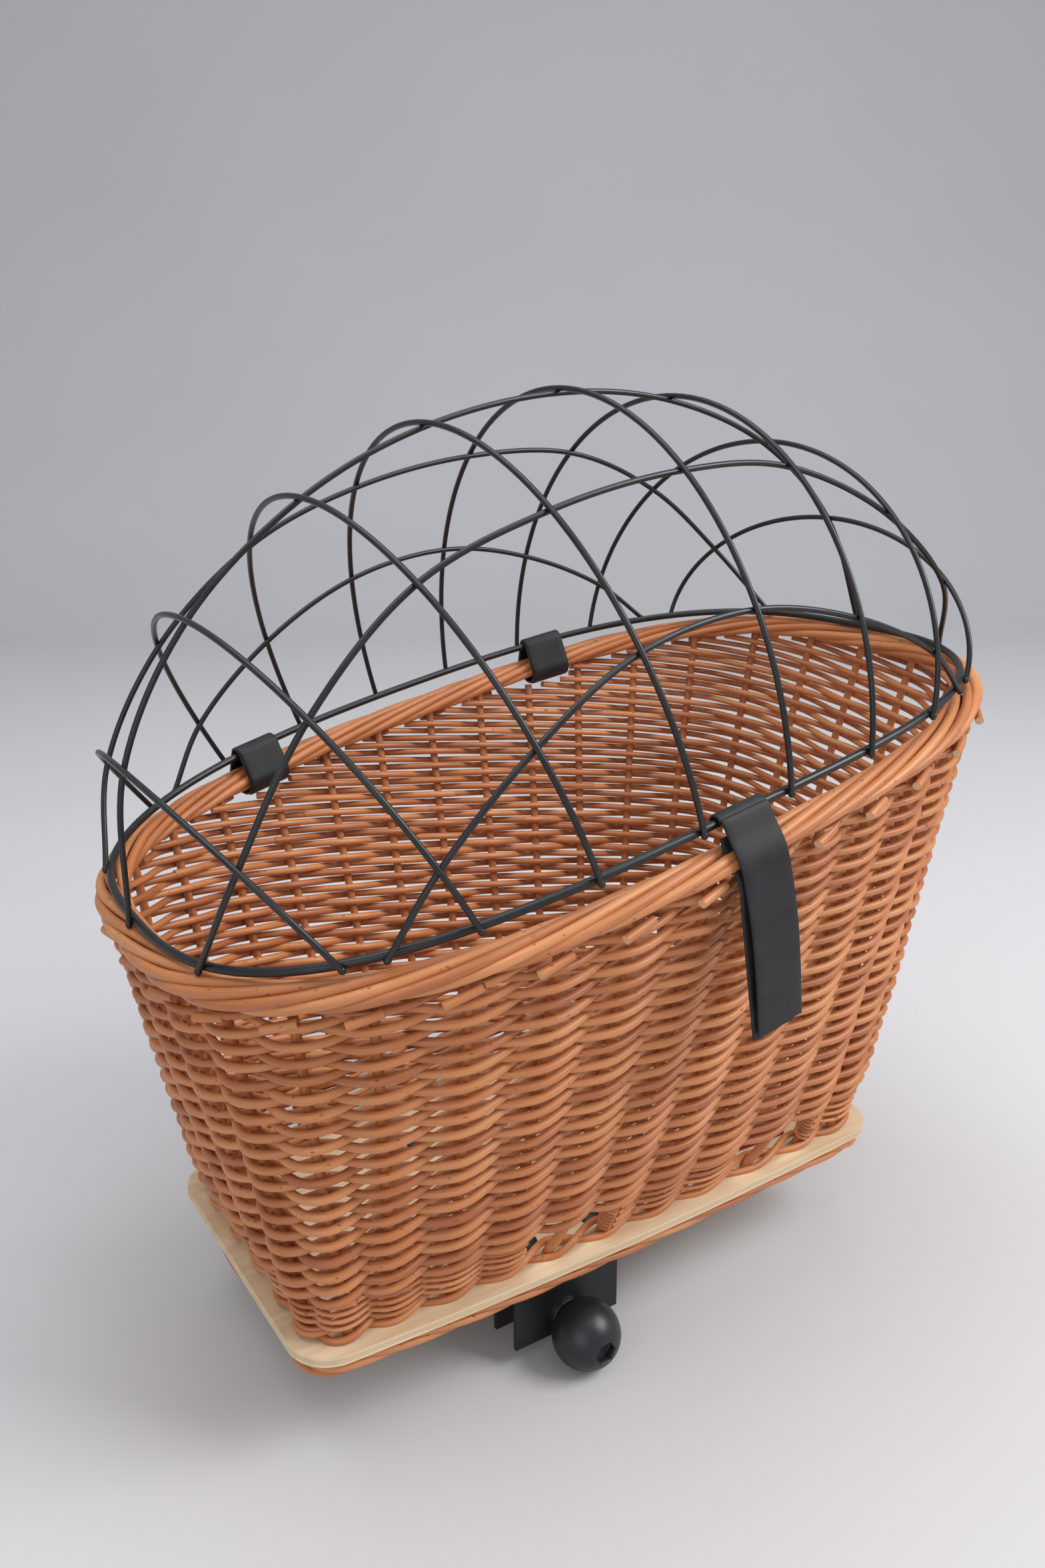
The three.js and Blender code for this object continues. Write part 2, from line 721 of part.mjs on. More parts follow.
function addBracket() {
  const left = clampCentre - clampWidth / 2;
  const right = clampCentre + clampWidth / 2;
  const outer = fixedJawFace + sheetThickness;
  const shoulder = outer - fixedJawDepth;
  const web = new THREE.Shape([
    new THREE.Vector2(left, lugFace),
    new THREE.Vector2(right, lugFace),
    new THREE.Vector2(right, shoulder),
    new THREE.Vector2(fixedJawWidth / 2, shoulder),
    new THREE.Vector2(fixedJawWidth / 2, outer),
    new THREE.Vector2(-fixedJawWidth / 2, outer),
    new THREE.Vector2(-fixedJawWidth / 2, shoulder),
    new THREE.Vector2(left, shoulder),
  ]);
  for (const [x, y] of boltPlaces()) web.holes.push(circlePath(x, y, boltDiameter / 2 + seatGap));
  const lugBottom = spindleHeight - lugReach;
  const lug = new THREE.BoxGeometry(clampWidth, sheetThickness, webTop - lugBottom);
  lug.translate(clampCentre, lugFace + sheetThickness / 2, (webTop + lugBottom) / 2);
  const jaw = plate(bentStrip(jawLine(fixedJawFace, 1, webTop, 0), sheetThickness), fixedJawWidth);
  // The pad that rests on the rack's rails stands proud of the web, clear of the nuts and the moving jaw.
  const pad = new THREE.BoxGeometry(clampWidth, railPadLength, railPadDepth + sheetThickness);
  pad.translate(clampCentre, railPadCentre, webTop - (railPadDepth + sheetThickness) / 2);
  const bracket = cut(
    join(plate(web, sheetThickness).translate(0, 0, webUnderside), lug, pad, standAcross(jaw, fixedJawWidth, 0)),
    spindleHole(2 * cutOverrun + sheetThickness, lugFace + sheetThickness / 2),
    spindleHole(2 * cutOverrun + sheetThickness, fixedJawFace + sheetThickness / 2),
  );
  addPiece('clamp_bracket', bracket, finishes.blackSheet);
}

function addBolts() {
  const shank = boltDiameter / 2;
  const head = boltHeadDiameter / 2;
  const headFoot = boardTop + seatGap;
  const tip = webUnderside - seatGap - nutHeight - boltTail;
  const profile = [[0, tip], [shank, tip], [shank, headFoot], [head, headFoot]];
  for (let step = 1; step < 4; step += 1) {
    const angle = step * Math.PI / 8;
    profile.push([head * Math.cos(angle), headFoot + boltHeadHeight * Math.sin(angle)]);
  }
  profile.push([0, headFoot + boltHeadHeight]);
  boltPlaces().forEach(([x, y], i) => {
    const bolt = addPiece(`clamp_bolt_${i + 1}`, weld(turned(profile, smallSides)), finishes.blackSheet);
    bolt.rotation.x = Math.PI / 2;
    bolt.position.set(x, y, 0);
    const nut = weld(hexNut(nutWidth, boltDiameter + 2 * seatGap, nutHeight));
    addPiece(`clamp_nut_${i + 1}`, nut, finishes.steel)
      .position.set(x, y, webUnderside - seatGap - nutHeight);
  });
}

// The moving jaw rides on the spindle's thread between the lug and the fixed jaw.
function addMovingJaw() {
  const top = webUnderside - runningGap;
  const shape = bentStrip(jawLine(movingJawFace, -1, top, movingJawTail), sheetThickness);
  const jaw = standAcross(plate(shape, clampWidth), clampWidth, clampCentre);
  const hole = spindleHole(2 * cutOverrun + sheetThickness, movingJawFace - sheetThickness / 2);
  addPiece('moving_jaw', cut(jaw, hole), finishes.blackSheet);

  const nut = weld(hexNut(jawNutWidth, spindleDiameter + 2 * seatGap, jawNutLength));
  const nutMesh = addPiece('jaw_nut', nut, finishes.steel);
  nutMesh.rotation.x = Math.PI / 2;
  nutMesh.position.set(clampCentre, movingJawFace - sheetThickness - seatGap, spindleHeight);
}

// The ball knob is flat where it meets its washer and has a hexagon socket in its outer end.
function knobGeometry() {
  const face = knobFaceDiameter / 2;
  const bore = spindleRadius + seatGap;
  const centre = Math.sqrt(knobRadius ** 2 - face ** 2);
  const start = Math.atan2(-centre, face);
  const profile = [[0, knobBoreDepth], [bore, knobBoreDepth], [bore, 0]];
  for (let step = 0; step < sphereSteps; step += 1) {
    const angle = THREE.MathUtils.lerp(start, Math.PI / 2, step / sphereSteps);
    profile.push([knobRadius * Math.cos(angle), centre + knobRadius * Math.sin(angle)]);
  }
  profile.push([0, centre + knobRadius]);
  const socket = plate(polygonShape(6, knobSocketWidth / Math.sqrt(3)), knobSocketDepth + cutOverrun);
  socket.rotateX(-Math.PI / 2);
  socket.translate(0, centre + knobRadius - knobSocketDepth, 0);
  return cut(turned(profile), socket);
}

function addKnob() {
  const washerBack = lugFace - seatGap;
  const knobBack = washerBack - washerThickness - seatGap;
  const collarFront = lugFace + sheetThickness + seatGap;
  const turnedOut = (name, geometry, finish, y) => {
    const mesh = addPiece(name, weld(geometry), finish);
    mesh.rotation.x = Math.PI;
    mesh.position.set(clampCentre, y, spindleHeight);
    return mesh;
  };
  const bore = spindleDiameter + 2 * seatGap;
  turnedOut('ball_knob', knobGeometry(), finishes.blackPlastic, knobBack);
  turnedOut('knob_washer', bush(washerDiameter, bore, washerThickness), finishes.steel, washerBack);
  turnedOut('spindle_collar', bush(collarDiameter, bore, collarLength), finishes.steel, collarFront + collarLength);
  const tip = knobBack - knobBoreDepth + seatGap;
  const tail = fixedJawFace + sheetThickness + spindleOverhang;
  turnedOut('clamp_spindle', roundBar(spindleDiameter, tail - tip), finishes.steel, (tip + tail) / 2);
}

function webbingCurve() {
  return new THREE.SplineCurve(webbingRoute.map(([x, y]) => new THREE.Vector2(x, y)));
}

function anchorPlace() {
  const curve = webbingCurve();
  return curve.getPointAt(anchorSetback / curve.getLength());
}

// The webbing lies flat on the board and lifts a little between its ends.
function addLeash() {
  const floor = boardTop + seatGap;
  const curve = webbingCurve();
  const steps = roundSides;
  const rows = [];
  for (let step = 0; step <= steps; step += 1) {
    const share = step / steps;
    const point = curve.getPointAt(share);
    const along = curve.getTangentAt(share);
    const lift = floor + webbingRipple * Math.sin(share * Math.PI) ** 2 * (1 + Math.cos(share * 6 * Math.PI)) / 2;
    rows.push([[-1, 0], [1, 0], [1, 1], [-1, 1]].map(([side, up]) => new THREE.Vector3(
      point.x + along.y * side * webbingWidth / 2,
      point.y - along.x * side * webbingWidth / 2,
      lift + up * webbingThickness,
    )));
  }
  const anchor = anchorPlace();
  const hole = roundBar(anchorDiameter + 2 * seatGap, webbingThickness + 4 * cutOverrun);
  hole.rotateX(Math.PI / 2).translate(anchor.x, anchor.y, floor);
  addPiece('leash_webbing', cut(skin(rows, false), hole), finishes.crimsonWebbing);

  const seat = floor + webbingRipple / 2 + webbingThickness;
  const shank = anchorDiameter / 2;
  const head = anchorHeadDiameter / 2;
  const profile = [
    [0, boardTop - anchorDepth], [shank, boardTop - anchorDepth], [shank, seat],
    [head, seat], [head * Math.SQRT1_2, seat + anchorHeadHeight], [0, seat + anchorHeadHeight],
  ];
  const screw = addPiece('leash_screw', weld(turned(profile, smallSides)), finishes.steel);
  screw.rotation.x = Math.PI / 2;
  screw.position.set(anchor.x, anchor.y, 0);
}

// The origin is on the ground under the middle of the whole.
function centre() {
  const middle = new THREE.Box3().setFromObject(basket, true).getCenter(new THREE.Vector3());
  basket.position.set(-middle.x, -middle.y, 0);
}

addBoard();
addBorders();
addWall();
addWindowStake('window_stake_left', leftWindow);
addWindowStake('window_stake_right', rightWindow);
addLid();
addHingeStraps();
addClosingStrap();
addBracket();
addBolts();
addMovingJaw();
addKnob();
addLeash();
centre();

export default basket;
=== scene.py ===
"""Dog basket for a bicycle's rear rack: woven willow on a plywood base, under a hinged wire dome."""
import logging
import math
from dataclasses import dataclass, field
from enum import Enum
from typing import Any, Callable, Optional, Sequence, Union

import bpy
import numpy as np
from mathutils import Matrix, Vector


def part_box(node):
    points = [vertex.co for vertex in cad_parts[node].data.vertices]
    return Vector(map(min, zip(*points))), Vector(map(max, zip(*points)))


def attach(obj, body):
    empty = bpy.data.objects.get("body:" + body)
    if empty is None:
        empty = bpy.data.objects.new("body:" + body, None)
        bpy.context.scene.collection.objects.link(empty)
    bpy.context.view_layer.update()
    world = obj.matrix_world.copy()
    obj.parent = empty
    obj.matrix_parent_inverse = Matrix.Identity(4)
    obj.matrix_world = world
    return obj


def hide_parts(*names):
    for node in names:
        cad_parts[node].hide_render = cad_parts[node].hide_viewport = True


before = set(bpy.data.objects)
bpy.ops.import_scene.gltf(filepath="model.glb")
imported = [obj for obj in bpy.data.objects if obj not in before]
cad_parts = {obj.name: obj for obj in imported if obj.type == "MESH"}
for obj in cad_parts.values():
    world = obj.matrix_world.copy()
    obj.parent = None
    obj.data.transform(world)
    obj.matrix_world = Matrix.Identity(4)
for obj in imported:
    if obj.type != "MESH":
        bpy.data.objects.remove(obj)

log = logging.getLogger("basket")

MM = 0.001
TURN = 2 * math.pi
UP = np.array([0.0, 0.0, 1.0])
PHOTO_SIZE = (1568, 2353)
SEED = 41
BEVEL_SEGMENTS = 2
BEVEL_ANGLE = math.radians(40)

Array = np.ndarray
Colour = tuple[float, float, float]
SocketValue = Union["Wire", float, Sequence[float]]


class Body(Enum):
    """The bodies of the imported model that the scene's own pieces ride on."""

    BASKET = "body"
    LID = "lid"
    STRAP = "strap"
    KNOB = "knob"


class Wire:
    """An output socket that takes part in Python sums."""

    def __init__(self, graph: "Graph", socket: bpy.types.NodeSocket) -> None:
        """Keeps the socket and the graph that it belongs to."""
        self.graph = graph
        self.socket = socket

    def _maths(self, operation: str, first: SocketValue, second: SocketValue = 0.0) -> "Wire":
        """Adds one Math node.

        Args:
            operation: The Math node's operation.
            first: The first number or wire.
            second: The second number or wire.

        Returns:
            The node's result.
        """
        return self.graph.node("ShaderNodeMath", {"operation": operation}, {0: first, 1: second})

    def __add__(self, other: SocketValue) -> "Wire":
        """Returns self + other."""
        return self._maths("ADD", self, other)

    __radd__ = __add__

    def __sub__(self, other: SocketValue) -> "Wire":
        """Returns self - other."""
        return self._maths("SUBTRACT", self, other)

    def __rsub__(self, other: SocketValue) -> "Wire":
        """Returns other - self."""
        return self._maths("SUBTRACT", other, self)

    def __mul__(self, other: SocketValue) -> "Wire":
        """Returns self * other."""
        return self._maths("MULTIPLY", self, other)

    __rmul__ = __mul__

    def __truediv__(self, other: SocketValue) -> "Wire":
        """Returns self / other."""
        return self._maths("DIVIDE", self, other)

    def wave(self) -> "Wire":
        """Returns the sine of self."""
        return self._maths("SINE", self)

    def fade(self, low: float, high: float) -> "Wire":
        """Returns self moved from the span low to high onto 0 to 1, smoothly and held at both ends."""
        settings = {"interpolation_type": "SMOOTHSTEP", "clamp": True}
        sockets = {"Value": self, "From Min": low, "From Max": high}
        return self.graph.node("ShaderNodeMapRange", settings, sockets)


class Graph:
    """The node tree of one material, with its shader ready."""

    def __init__(self, name: str) -> None:
        """Makes an empty material with a Principled shader."""
        self.material = bpy.data.materials.new(name)
        self.material.use_nodes = True
        self.tree = self.material.node_tree
        self.tree.nodes.clear()
        output = self.tree.nodes.new("ShaderNodeOutputMaterial")
        self.shader = self.tree.nodes.new("ShaderNodeBsdfPrincipled")
        self.tree.links.new(self.shader.outputs["BSDF"], output.inputs["Surface"])

    def feed(self, socket: bpy.types.NodeSocket, value: SocketValue) -> None:
        """Links a wire to a socket, or sets the socket's own value."""
        if isinstance(value, Wire):
            self.tree.links.new(value.socket, socket)
        elif isinstance(value, (tuple, list)) and len(value) == 3 and socket.type == "RGBA":
            socket.default_value = (*value, 1.0)
        else:
            socket.default_value = value

    def node(
        self,
        kind: str,
        settings: Optional[dict[str, Any]] = None,
        inputs: Optional[dict[Union[str, int], SocketValue]] = None,
        output: Union[str, int] = 0,
    ) -> Wire:
        """Adds any node.

        Args:
            kind: The node's type.
            settings: The node's own properties; "stops" holds a colour ramp's places and colours.
            inputs: The values or wires of its sockets.
            output: Which output to return.

        Returns:
            The chosen output as a wire.
        """
        made = self.tree.nodes.new(kind)
        for key, value in (settings or {}).items():
            if key == "stops":
                ramp = made.color_ramp.elements
                while len(ramp) < len(value):
                    ramp.new(1.0)
                for stop, (place, colour) in zip(ramp, value):
                    stop.position = place
                    stop.color = (*colour, 1.0)
            else:
                setattr(made, key, value)
        for key, value in (inputs or {}).items():
            self.feed(made.inputs[key], value)
        return Wire(self, made.outputs[output])

    def attribute(self, name: str, vector: bool = False) -> Wire:
        """Returns a mesh attribute as a number or a vector."""
        output = "Vector" if vector else "Fac"
        return self.node("ShaderNodeAttribute", {"attribute_name": name}, output=output)

    def place(self, scale: Sequence[float] = (1, 1, 1)) -> Wire:
        """Returns the place on the object, scaled along each axis."""
        place = self.node("ShaderNodeTexCoord", output="Object")
        return self.scaled(place, scale)

    def scaled(self, vector: Wire, scale: Sequence[float]) -> Wire:
        """Returns a vector scaled along each axis."""
        return self.node("ShaderNodeVectorMath", {"operation": "MULTIPLY"}, {0: vector, 1: tuple(scale)})

    def noise(self, vector: Wire, scale: float, detail: float = 3.0, roughness: float = 0.55) -> Wire:
        """Returns a soft noise from 0 to 1."""
        sockets = {"Vector": vector, "Scale": scale, "Detail": detail, "Roughness": roughness}
        return self.node("ShaderNodeTexNoise", None, sockets)

    def ramp(self, factor: Wire, *stops: tuple[float, Colour]) -> Wire:
        """Returns a colour that runs through the stops."""
        return self.node("ShaderNodeValToRGB", {"stops": stops}, {"Fac": factor})

    def mix(self, factor: SocketValue, first: SocketValue, second: SocketValue) -> Wire:
        """Returns a mix of two colours."""
        return self.node("ShaderNodeMix", {"data_type": "RGBA"}, {0: factor, 6: first, 7: second}, output=2)

    def bump(self, height: Wire, distance: float, strength: float = 1.0) -> Wire:
        """Returns a normal from a height in metres of relief."""
        sockets = {"Height": height, "Distance": distance, "Strength": strength}
        return self.node("ShaderNodeBump", None, sockets)

    def finish(self, **sockets: SocketValue) -> bpy.types.Material:
        """Sets the shader's sockets; underscores stand for the spaces in their names."""
        for key, value in sockets.items():
            self.feed(self.shader.inputs[key.replace("_", " ")], value)
        return self.material


@dataclass(frozen=True)
class Willow:
    """Peeled and buffed willow rods, each with a tone of its own."""

    name: str = "buff_willow"
    dark: Colour = (0.31, 0.085, 0.026)
    middle: Colour = (0.52, 0.185, 0.060)
    light: Colour = (0.66, 0.295, 0.115)
    cut: Colour = (0.74, 0.47, 0.25)
    speck: Colour = (0.16, 0.045, 0.018)

    def make(self) -> bpy.types.Material:
        """Returns the material."""
        graph = Graph(self.name)
        grain = graph.attribute("grain", vector=True)
        tone = graph.attribute("tone")
        streaks = graph.noise(graph.scaled(grain, (30, 900, 900)), 1.0)
        patches = graph.noise(graph.scaled(grain, (22, 60, 60)), 1.0, detail=2)
        body = graph.ramp(
            tone * 0.42 + streaks * 0.38 + patches * 0.32 - 0.06,
            (0.15, self.dark), (0.52, self.middle), (0.88, self.light),
        )
        specks = graph.noise(graph.scaled(grain, (210, 420, 420)), 1.0, detail=1).fade(0.70, 0.76)
        marked = graph.mix(specks * 0.75, body, self.speck)
        colour = graph.mix(graph.attribute("cut"), marked, self.cut)
        relief = streaks * 0.6 + patches * 1.4 - specks * 0.5
        return graph.finish(
            Base_Color=colour,
            Roughness=0.36 + streaks * 0.16 + specks * 0.2,
            Normal=graph.bump(relief, 0.25 * MM, 0.7),
            Specular_IOR_Level=0.55,
        )


@dataclass(frozen=True)
class Plywood:
    """Birch plywood of three plies, cut and sanded along its edge."""

    low: float
    thickness: float
    name: str = "birch_plywood"
    pale: Colour = (0.76, 0.60, 0.40)
    warm: Colour = (0.62, 0.44, 0.26)
    core: Colour = (0.52, 0.35, 0.20)
    glue: Colour = (0.30, 0.18, 0.09)

    def make(self) -> bpy.types.Material:
        """Returns the material."""
        graph = Graph(self.name)
        grain = graph.noise(graph.place((14, 190, 190)), 1.0, detail=4)
        figure = graph.noise(graph.place((5, 42, 42)), 1.0, detail=2)
        face = graph.ramp(grain * 0.6 + figure * 0.4, (0.32, self.warm), (0.62, self.pale))
        height = graph.node("ShaderNodeSeparateXYZ", None, {0: graph.place()}, output="Z")
        ply = (height - self.low) / self.thickness
        inner = ply.fade(0.30, 0.335) * (1 - ply.fade(0.665, 0.70))
        low_glue = ply.fade(0.29, 0.31) * (1 - ply.fade(0.34, 0.36))
        high_glue = ply.fade(0.64, 0.66) * (1 - ply.fade(0.69, 0.71))
        plies = graph.mix(inner * 0.45, face, self.core)
        colour = graph.mix((low_glue + high_glue) * 0.55, plies, self.glue)
        return graph.finish(
            Base_Color=colour,
            Roughness=0.52 + grain * 0.2,
            Normal=graph.bump(grain + inner * 0.3, 0.2 * MM, 0.6),
        )


@dataclass(frozen=True)
class Lacquer:
    """Black lacquer on steel, thick enough to soften the metal under it."""

    name: str
    colour: Colour = (0.006, 0.0065, 0.0075)
    roughness: float = 0.26
    relief: float = 0.05 * MM

    def make(self) -> bpy.types.Material:
        """Returns the material."""
        graph = Graph(self.name)
        fine = graph.noise(graph.place(), 900.0, detail=2)
        broad = graph.noise(graph.place(), 70.0, detail=3)
        colour = graph.ramp(broad, (0.3, self.colour), (0.75, tuple(2.1 * part for part in self.colour)))
        return graph.finish(
            Base_Color=colour,
            Roughness=self.roughness + broad * 0.16,
            Normal=graph.bump(fine * 0.4 + broad, self.relief, 0.6),
            Specular_IOR_Level=0.5,
        )


@dataclass(frozen=True)
class Leather:
    """Smooth black strap leather with a fine grain."""

    name: str = "strap_leather"
    colour: Colour = (0.0075, 0.0075, 0.0085)
    worn: Colour = (0.022, 0.022, 0.024)

    def make(self) -> bpy.types.Material:
        """Returns the material."""
        graph = Graph(self.name)
        pores = graph.node("ShaderNodeTexVoronoi", None, {"Vector": graph.place(), "Scale": 1500.0})
        broad = graph.noise(graph.place(), 60.0)
        colour = graph.ramp(broad, (0.35, self.colour), (0.8, self.worn))
        return graph.finish(
            Base_Color=colour,
            Roughness=0.46 + broad * 0.2,
            Normal=graph.bump(pores * 0.7 + broad * 0.8, 0.12 * MM, 0.5),
            Specular_IOR_Level=0.4,
        )


@dataclass(frozen=True)
class MouldedPlastic:
    """Black moulded plastic with a faint sparkle and scuffs."""

    name: str = "knob_plastic"
    colour: Colour = (0.012, 0.0145, 0.017)
    scuffed: Colour = (0.045, 0.050, 0.055)

    def make(self) -> bpy.types.Material:
        """Returns the material."""
        graph = Graph(self.name)
        spots = graph.noise(graph.place(), 420.0, detail=3)
        broad = graph.noise(graph.place(), 45.0)
        scuffs = spots.fade(0.60, 0.78) * broad.fade(0.35, 0.7)
        return graph.finish(
            Base_Color=graph.mix(scuffs * 0.6, self.colour, self.scuffed),
            Roughness=0.34 + scuffs * 0.25 + broad * 0.06,
            Normal=graph.bump(spots, 0.06 * MM, 0.6),
        )


@dataclass(frozen=True)
class ZincSteel:
    """Bright zinc on turned and pressed steel."""

    name: str = "zinc_steel"
    colour: Colour = (0.56, 0.57, 0.58)

    def make(self) -> bpy.types.Material:
        """Returns the material."""
        graph = Graph(self.name)
        cloud = graph.noise(graph.place(), 160.0)
        colour = graph.ramp(cloud, (0.3, tuple(0.7 * part for part in self.colour)), (0.7, self.colour))
        return graph.finish(
            Base_Color=colour,
            Metallic=1.0,
            Roughness=0.24 + cloud * 0.2,
            Normal=graph.bump(cloud, 0.04 * MM, 0.5),
        )


@dataclass(frozen=True)
class Webbing:
    """Ribbed woven webbing, read by its length and its width, with painted shade in the troughs of its ribs.
    """

    name: str = "ribbed_webbing"
    colour: Colour = (0.42, 0.010, 0.045)
    # shade: the colour of painted shade, laid into the low troughs between ribs and picks
    shade: Colour = (0.19, 0.004, 0.020)
    rib: float = 1.9 * MM

    def make(self) -> bpy.types.Material:
        """Returns the material."""
        graph = Graph(self.name)
        grain = graph.attribute("grain", vector=True)
        along = graph.node("ShaderNodeSeparateXYZ", None, {0: grain}, output="X")
        across = graph.node("ShaderNodeSeparateXYZ", None, {0: grain}, output="Y")
        ribs = (along * (TURN / self.rib)).wave() * 0.5 + 0.5
        picks = (across * (TURN / (0.8 * MM))).wave() * 0.5 + 0.5
        fuzz = graph.noise(graph.place(), 1400.0)
        height = ribs * 0.75 + picks * ribs * 0.3 + fuzz * 0.2
        # Painted shade: the lower the relief, the further the colour turns towards the shade colour.
        colour = graph.mix(height, self.shade, self.colour)
        return graph.finish(Base_Color=colour, Roughness=0.82, Normal=graph.bump(height, 0.5 * MM))


@dataclass(frozen=True)
class Studio:
    """The plain pale floor and backdrop."""

    name: str = "studio_floor"
    colour: Colour = (0.60, 0.59, 0.60)

    def make(self) -> bpy.types.Material:
        """Returns the material."""
        graph = Graph(self.name)
        cloud = graph.noise(graph.place(), 1.6)
        colour = graph.ramp(cloud, (0.3, tuple(0.97 * part for part in self.colour)), (0.7, self.colour))
        return graph.finish(Base_Color=colour, Roughness=0.9, Specular_IOR_Level=0.1)


def unit(vectors: Array) -> Array:
    """Returns vectors of length one."""
    return vectors / np.maximum(np.linalg.norm(vectors, axis=-1, keepdims=True), 1e-12)


def smooth(share: Array) -> Array:
    """Returns 0 to 1 eased at both ends."""
    held = np.clip(share, 0.0, 1.0)
    return held * held * (3 - 2 * held)


class ClosedLine:
    """A closed line in plan that is read by its share of length."""

    def __init__(self, points: Array) -> None:
        """Measures the line.

        Args:
            points: The line's points; the last one repeats the first.
        """
        self.points = points
        steps = np.linalg.norm(np.diff(points, axis=0), axis=1)
        self.lengths = np.concatenate([[0.0], np.cumsum(steps)])

    def at(self, share: Array) -> Array:
        """Returns the points at shares of the whole length."""
        place = np.mod(share, 1.0) * self.lengths[-1]
        return np.stack([np.interp(place, self.lengths, self.points[:, axis]) for axis in (0, 1)], axis=-1)

    def outward(self, share: Array) -> Array:
        """Returns the unit vectors that point out of the line."""
        step = 1e-3
        along = self.at(share + step) - self.at(share - step)
        return unit(np.stack([along[..., 1], -along[..., 0]], axis=-1))


def squared_ellipse(half_length: float, half_width: float, fullness: float, count: int = 6001) -> ClosedLine:
    """Returns the plan of the rim, between an ellipse and a rectangle."""
    angle = np.linspace(0.0, TURN, count)
    wide, deep = np.cos(angle), np.sin(angle)
    points = [
        half_length * np.sign(wide) * np.abs(wide) ** (2 / fullness),
        half_width * np.sign(deep) * np.abs(deep) ** (2 / fullness),
    ]
    return ClosedLine(np.stack(points, axis=-1))


@dataclass(frozen=True)
class Plan:
    """The basket's sizes and the curves that its pieces follow."""

    board_length: float = 458 * MM
    board_width: float = 225 * MM
    board_bow: float = 6 * MM
    board_corner: float = 28 * MM
    board_thickness: float = 6 * MM
    board_shift: float = -8 * MM
    rim_half_length: float = 285 * MM
    rim_half_width: float = 188 * MM
    rim_fullness: float = 2.84
    rim_slope: float = math.radians(11.1)
    rim_height: float = 311 * MM
    wall_inset: float = 13 * MM
    wall_flare: float = 0.88
    seat_gap: float = 0.3 * MM
    waling_height: float = 8 * MM
    border_width: float = 22 * MM
    border_height: float = 17 * MM
    ring_inset: float = 2.5 * MM
    ring_sag: float = 10 * MM
    ring_radius: float = 2.5 * MM
    wire_radius: float = 1.75 * MM

    @property
    def board_low(self) -> float:
        """The level of the board's underside."""
        return float(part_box("base_board")[0][2])

    @property
    def shift(self) -> Array:
        """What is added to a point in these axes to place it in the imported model."""
        low, high = (np.array(corner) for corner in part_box("base_board"))
        middle = (low + high) / 2
        return np.array([middle[0] - self.board_shift, middle[1], 0.0])

    @property
    def wall_foot(self) -> float:
        """The level where the wall starts, over the waling."""
        return self.board_low + self.board_thickness + self.waling_height + 2 * self.seat_gap

    @property
    def rim_centre(self) -> float:
        """The level of the middle of the lid's ring."""
        return self.board_low + self.rim_height

    @property
    def border_top(self) -> float:
        """The border's top, square to the rim from the ring's middle."""
        return -(self.ring_sag + self.ring_radius + self.seat_gap)

    @property
    def border_middle(self) -> float:
        """The border's middle, square to the rim."""
        return self.border_top - self.border_height / 2

    @property
    def wall_top(self) -> float:
        """The wall's top edge, square to the rim."""
        return self.border_top - self.border_height - self.seat_gap

    def board_line(self, inset: float) -> ClosedLine:
        """Returns the base's plan drawn in by an inset."""
        x = self.board_length / 2 - inset
        y = self.board_width / 2 - inset
        radius = self.board_corner - inset
        crown = y + 2 * self.board_bow
        right, top = x - radius, y - radius

        def corner(across: float, up: float, start: float) -> Array:
            """Returns a quarter turn of the outline."""
            angle = np.linspace(start, start + math.pi / 2, 60)
            return np.stack([across + radius * np.cos(angle), up + radius * np.sin(angle)], axis=-1)

        def bow(start: float, side: float) -> Array:
            """Returns a long side, which bows outward a little."""
            share = np.linspace(0.0, 1.0, 400)[:, None]
            ends = np.array([[start, side * y], [0.0, side * crown], [-start, side * y]])
            return (1 - share) ** 2 * ends[0] + 2 * share * (1 - share) * ends[1] + share ** 2 * ends[2]

        points = np.vstack([
            [[x, 0.0]], corner(right, top, 0.0), bow(right, 1.0), corner(-right, top, math.pi / 2),
            corner(-right, -top, math.pi), bow(-right, -1.0), corner(right, -top, 1.5 * math.pi), [[x, 0.0]],
        ])
        return ClosedLine(points)

    def tilt(self, points: Array) -> Array:
        """Returns points of the rim's own axes in the basket's axes."""
        cos, sin = math.cos(self.rim_slope), math.sin(self.rim_slope)
        across, along, up = points[..., 0], points[..., 1], points[..., 2]
        return np.stack([across * cos - up * sin, along, self.rim_centre + across * sin + up * cos], axis=-1)


PLAN = Plan()


class Wall:
    """The surface that the rods are woven on, read by its share round and its height."""

    def __init__(self) -> None:
        """Reads the foot and the rim of the wall."""
        self.foot = PLAN.board_line(PLAN.wall_inset)
        self.rim = squared_ellipse(PLAN.rim_half_length, PLAN.rim_half_width, PLAN.rim_fullness)

    def top(self, share: Array) -> Array:
        """Returns the points of the wall's top edge."""
        plan = self.rim.at(share)
        return PLAN.tilt(np.concatenate([plan, np.full((*plan.shape[:-1], 1), PLAN.wall_top)], axis=-1))

    def lift(self, share: Array, height: Array) -> Array:
        """Returns how far up the wall a height is, from 0 at the foot to 1 at the top."""
        return (height - PLAN.wall_foot) / (self.top(share)[..., 2] - PLAN.wall_foot)

    def point(self, share: Array, height: Array) -> Array:
        """Returns the points of the wall's middle surface."""
        top = self.top(share)
        foot = self.foot.at(share)
        lift = self.lift(share, height)
        flare = np.sign(lift) * np.abs(lift) ** PLAN.wall_flare
        across = (foot[..., 0] + PLAN.board_shift) * (1 - flare) + top[..., 0] * flare
        along = foot[..., 1] * (1 - flare) + top[..., 1] * flare
        return np.stack([across, along, height + 0 * across], axis=-1)

    def outward(self, share: Array, height: Array) -> Array:
        """Returns the unit vectors that point out of the wall."""
        step = 2e-3
        round_it = self.point(share + step, height) - self.point(share - step, height)
        up_it = self.point(share, height + 2 * MM) - self.point(share, height - 2 * MM)
        return unit(np.cross(round_it, up_it))


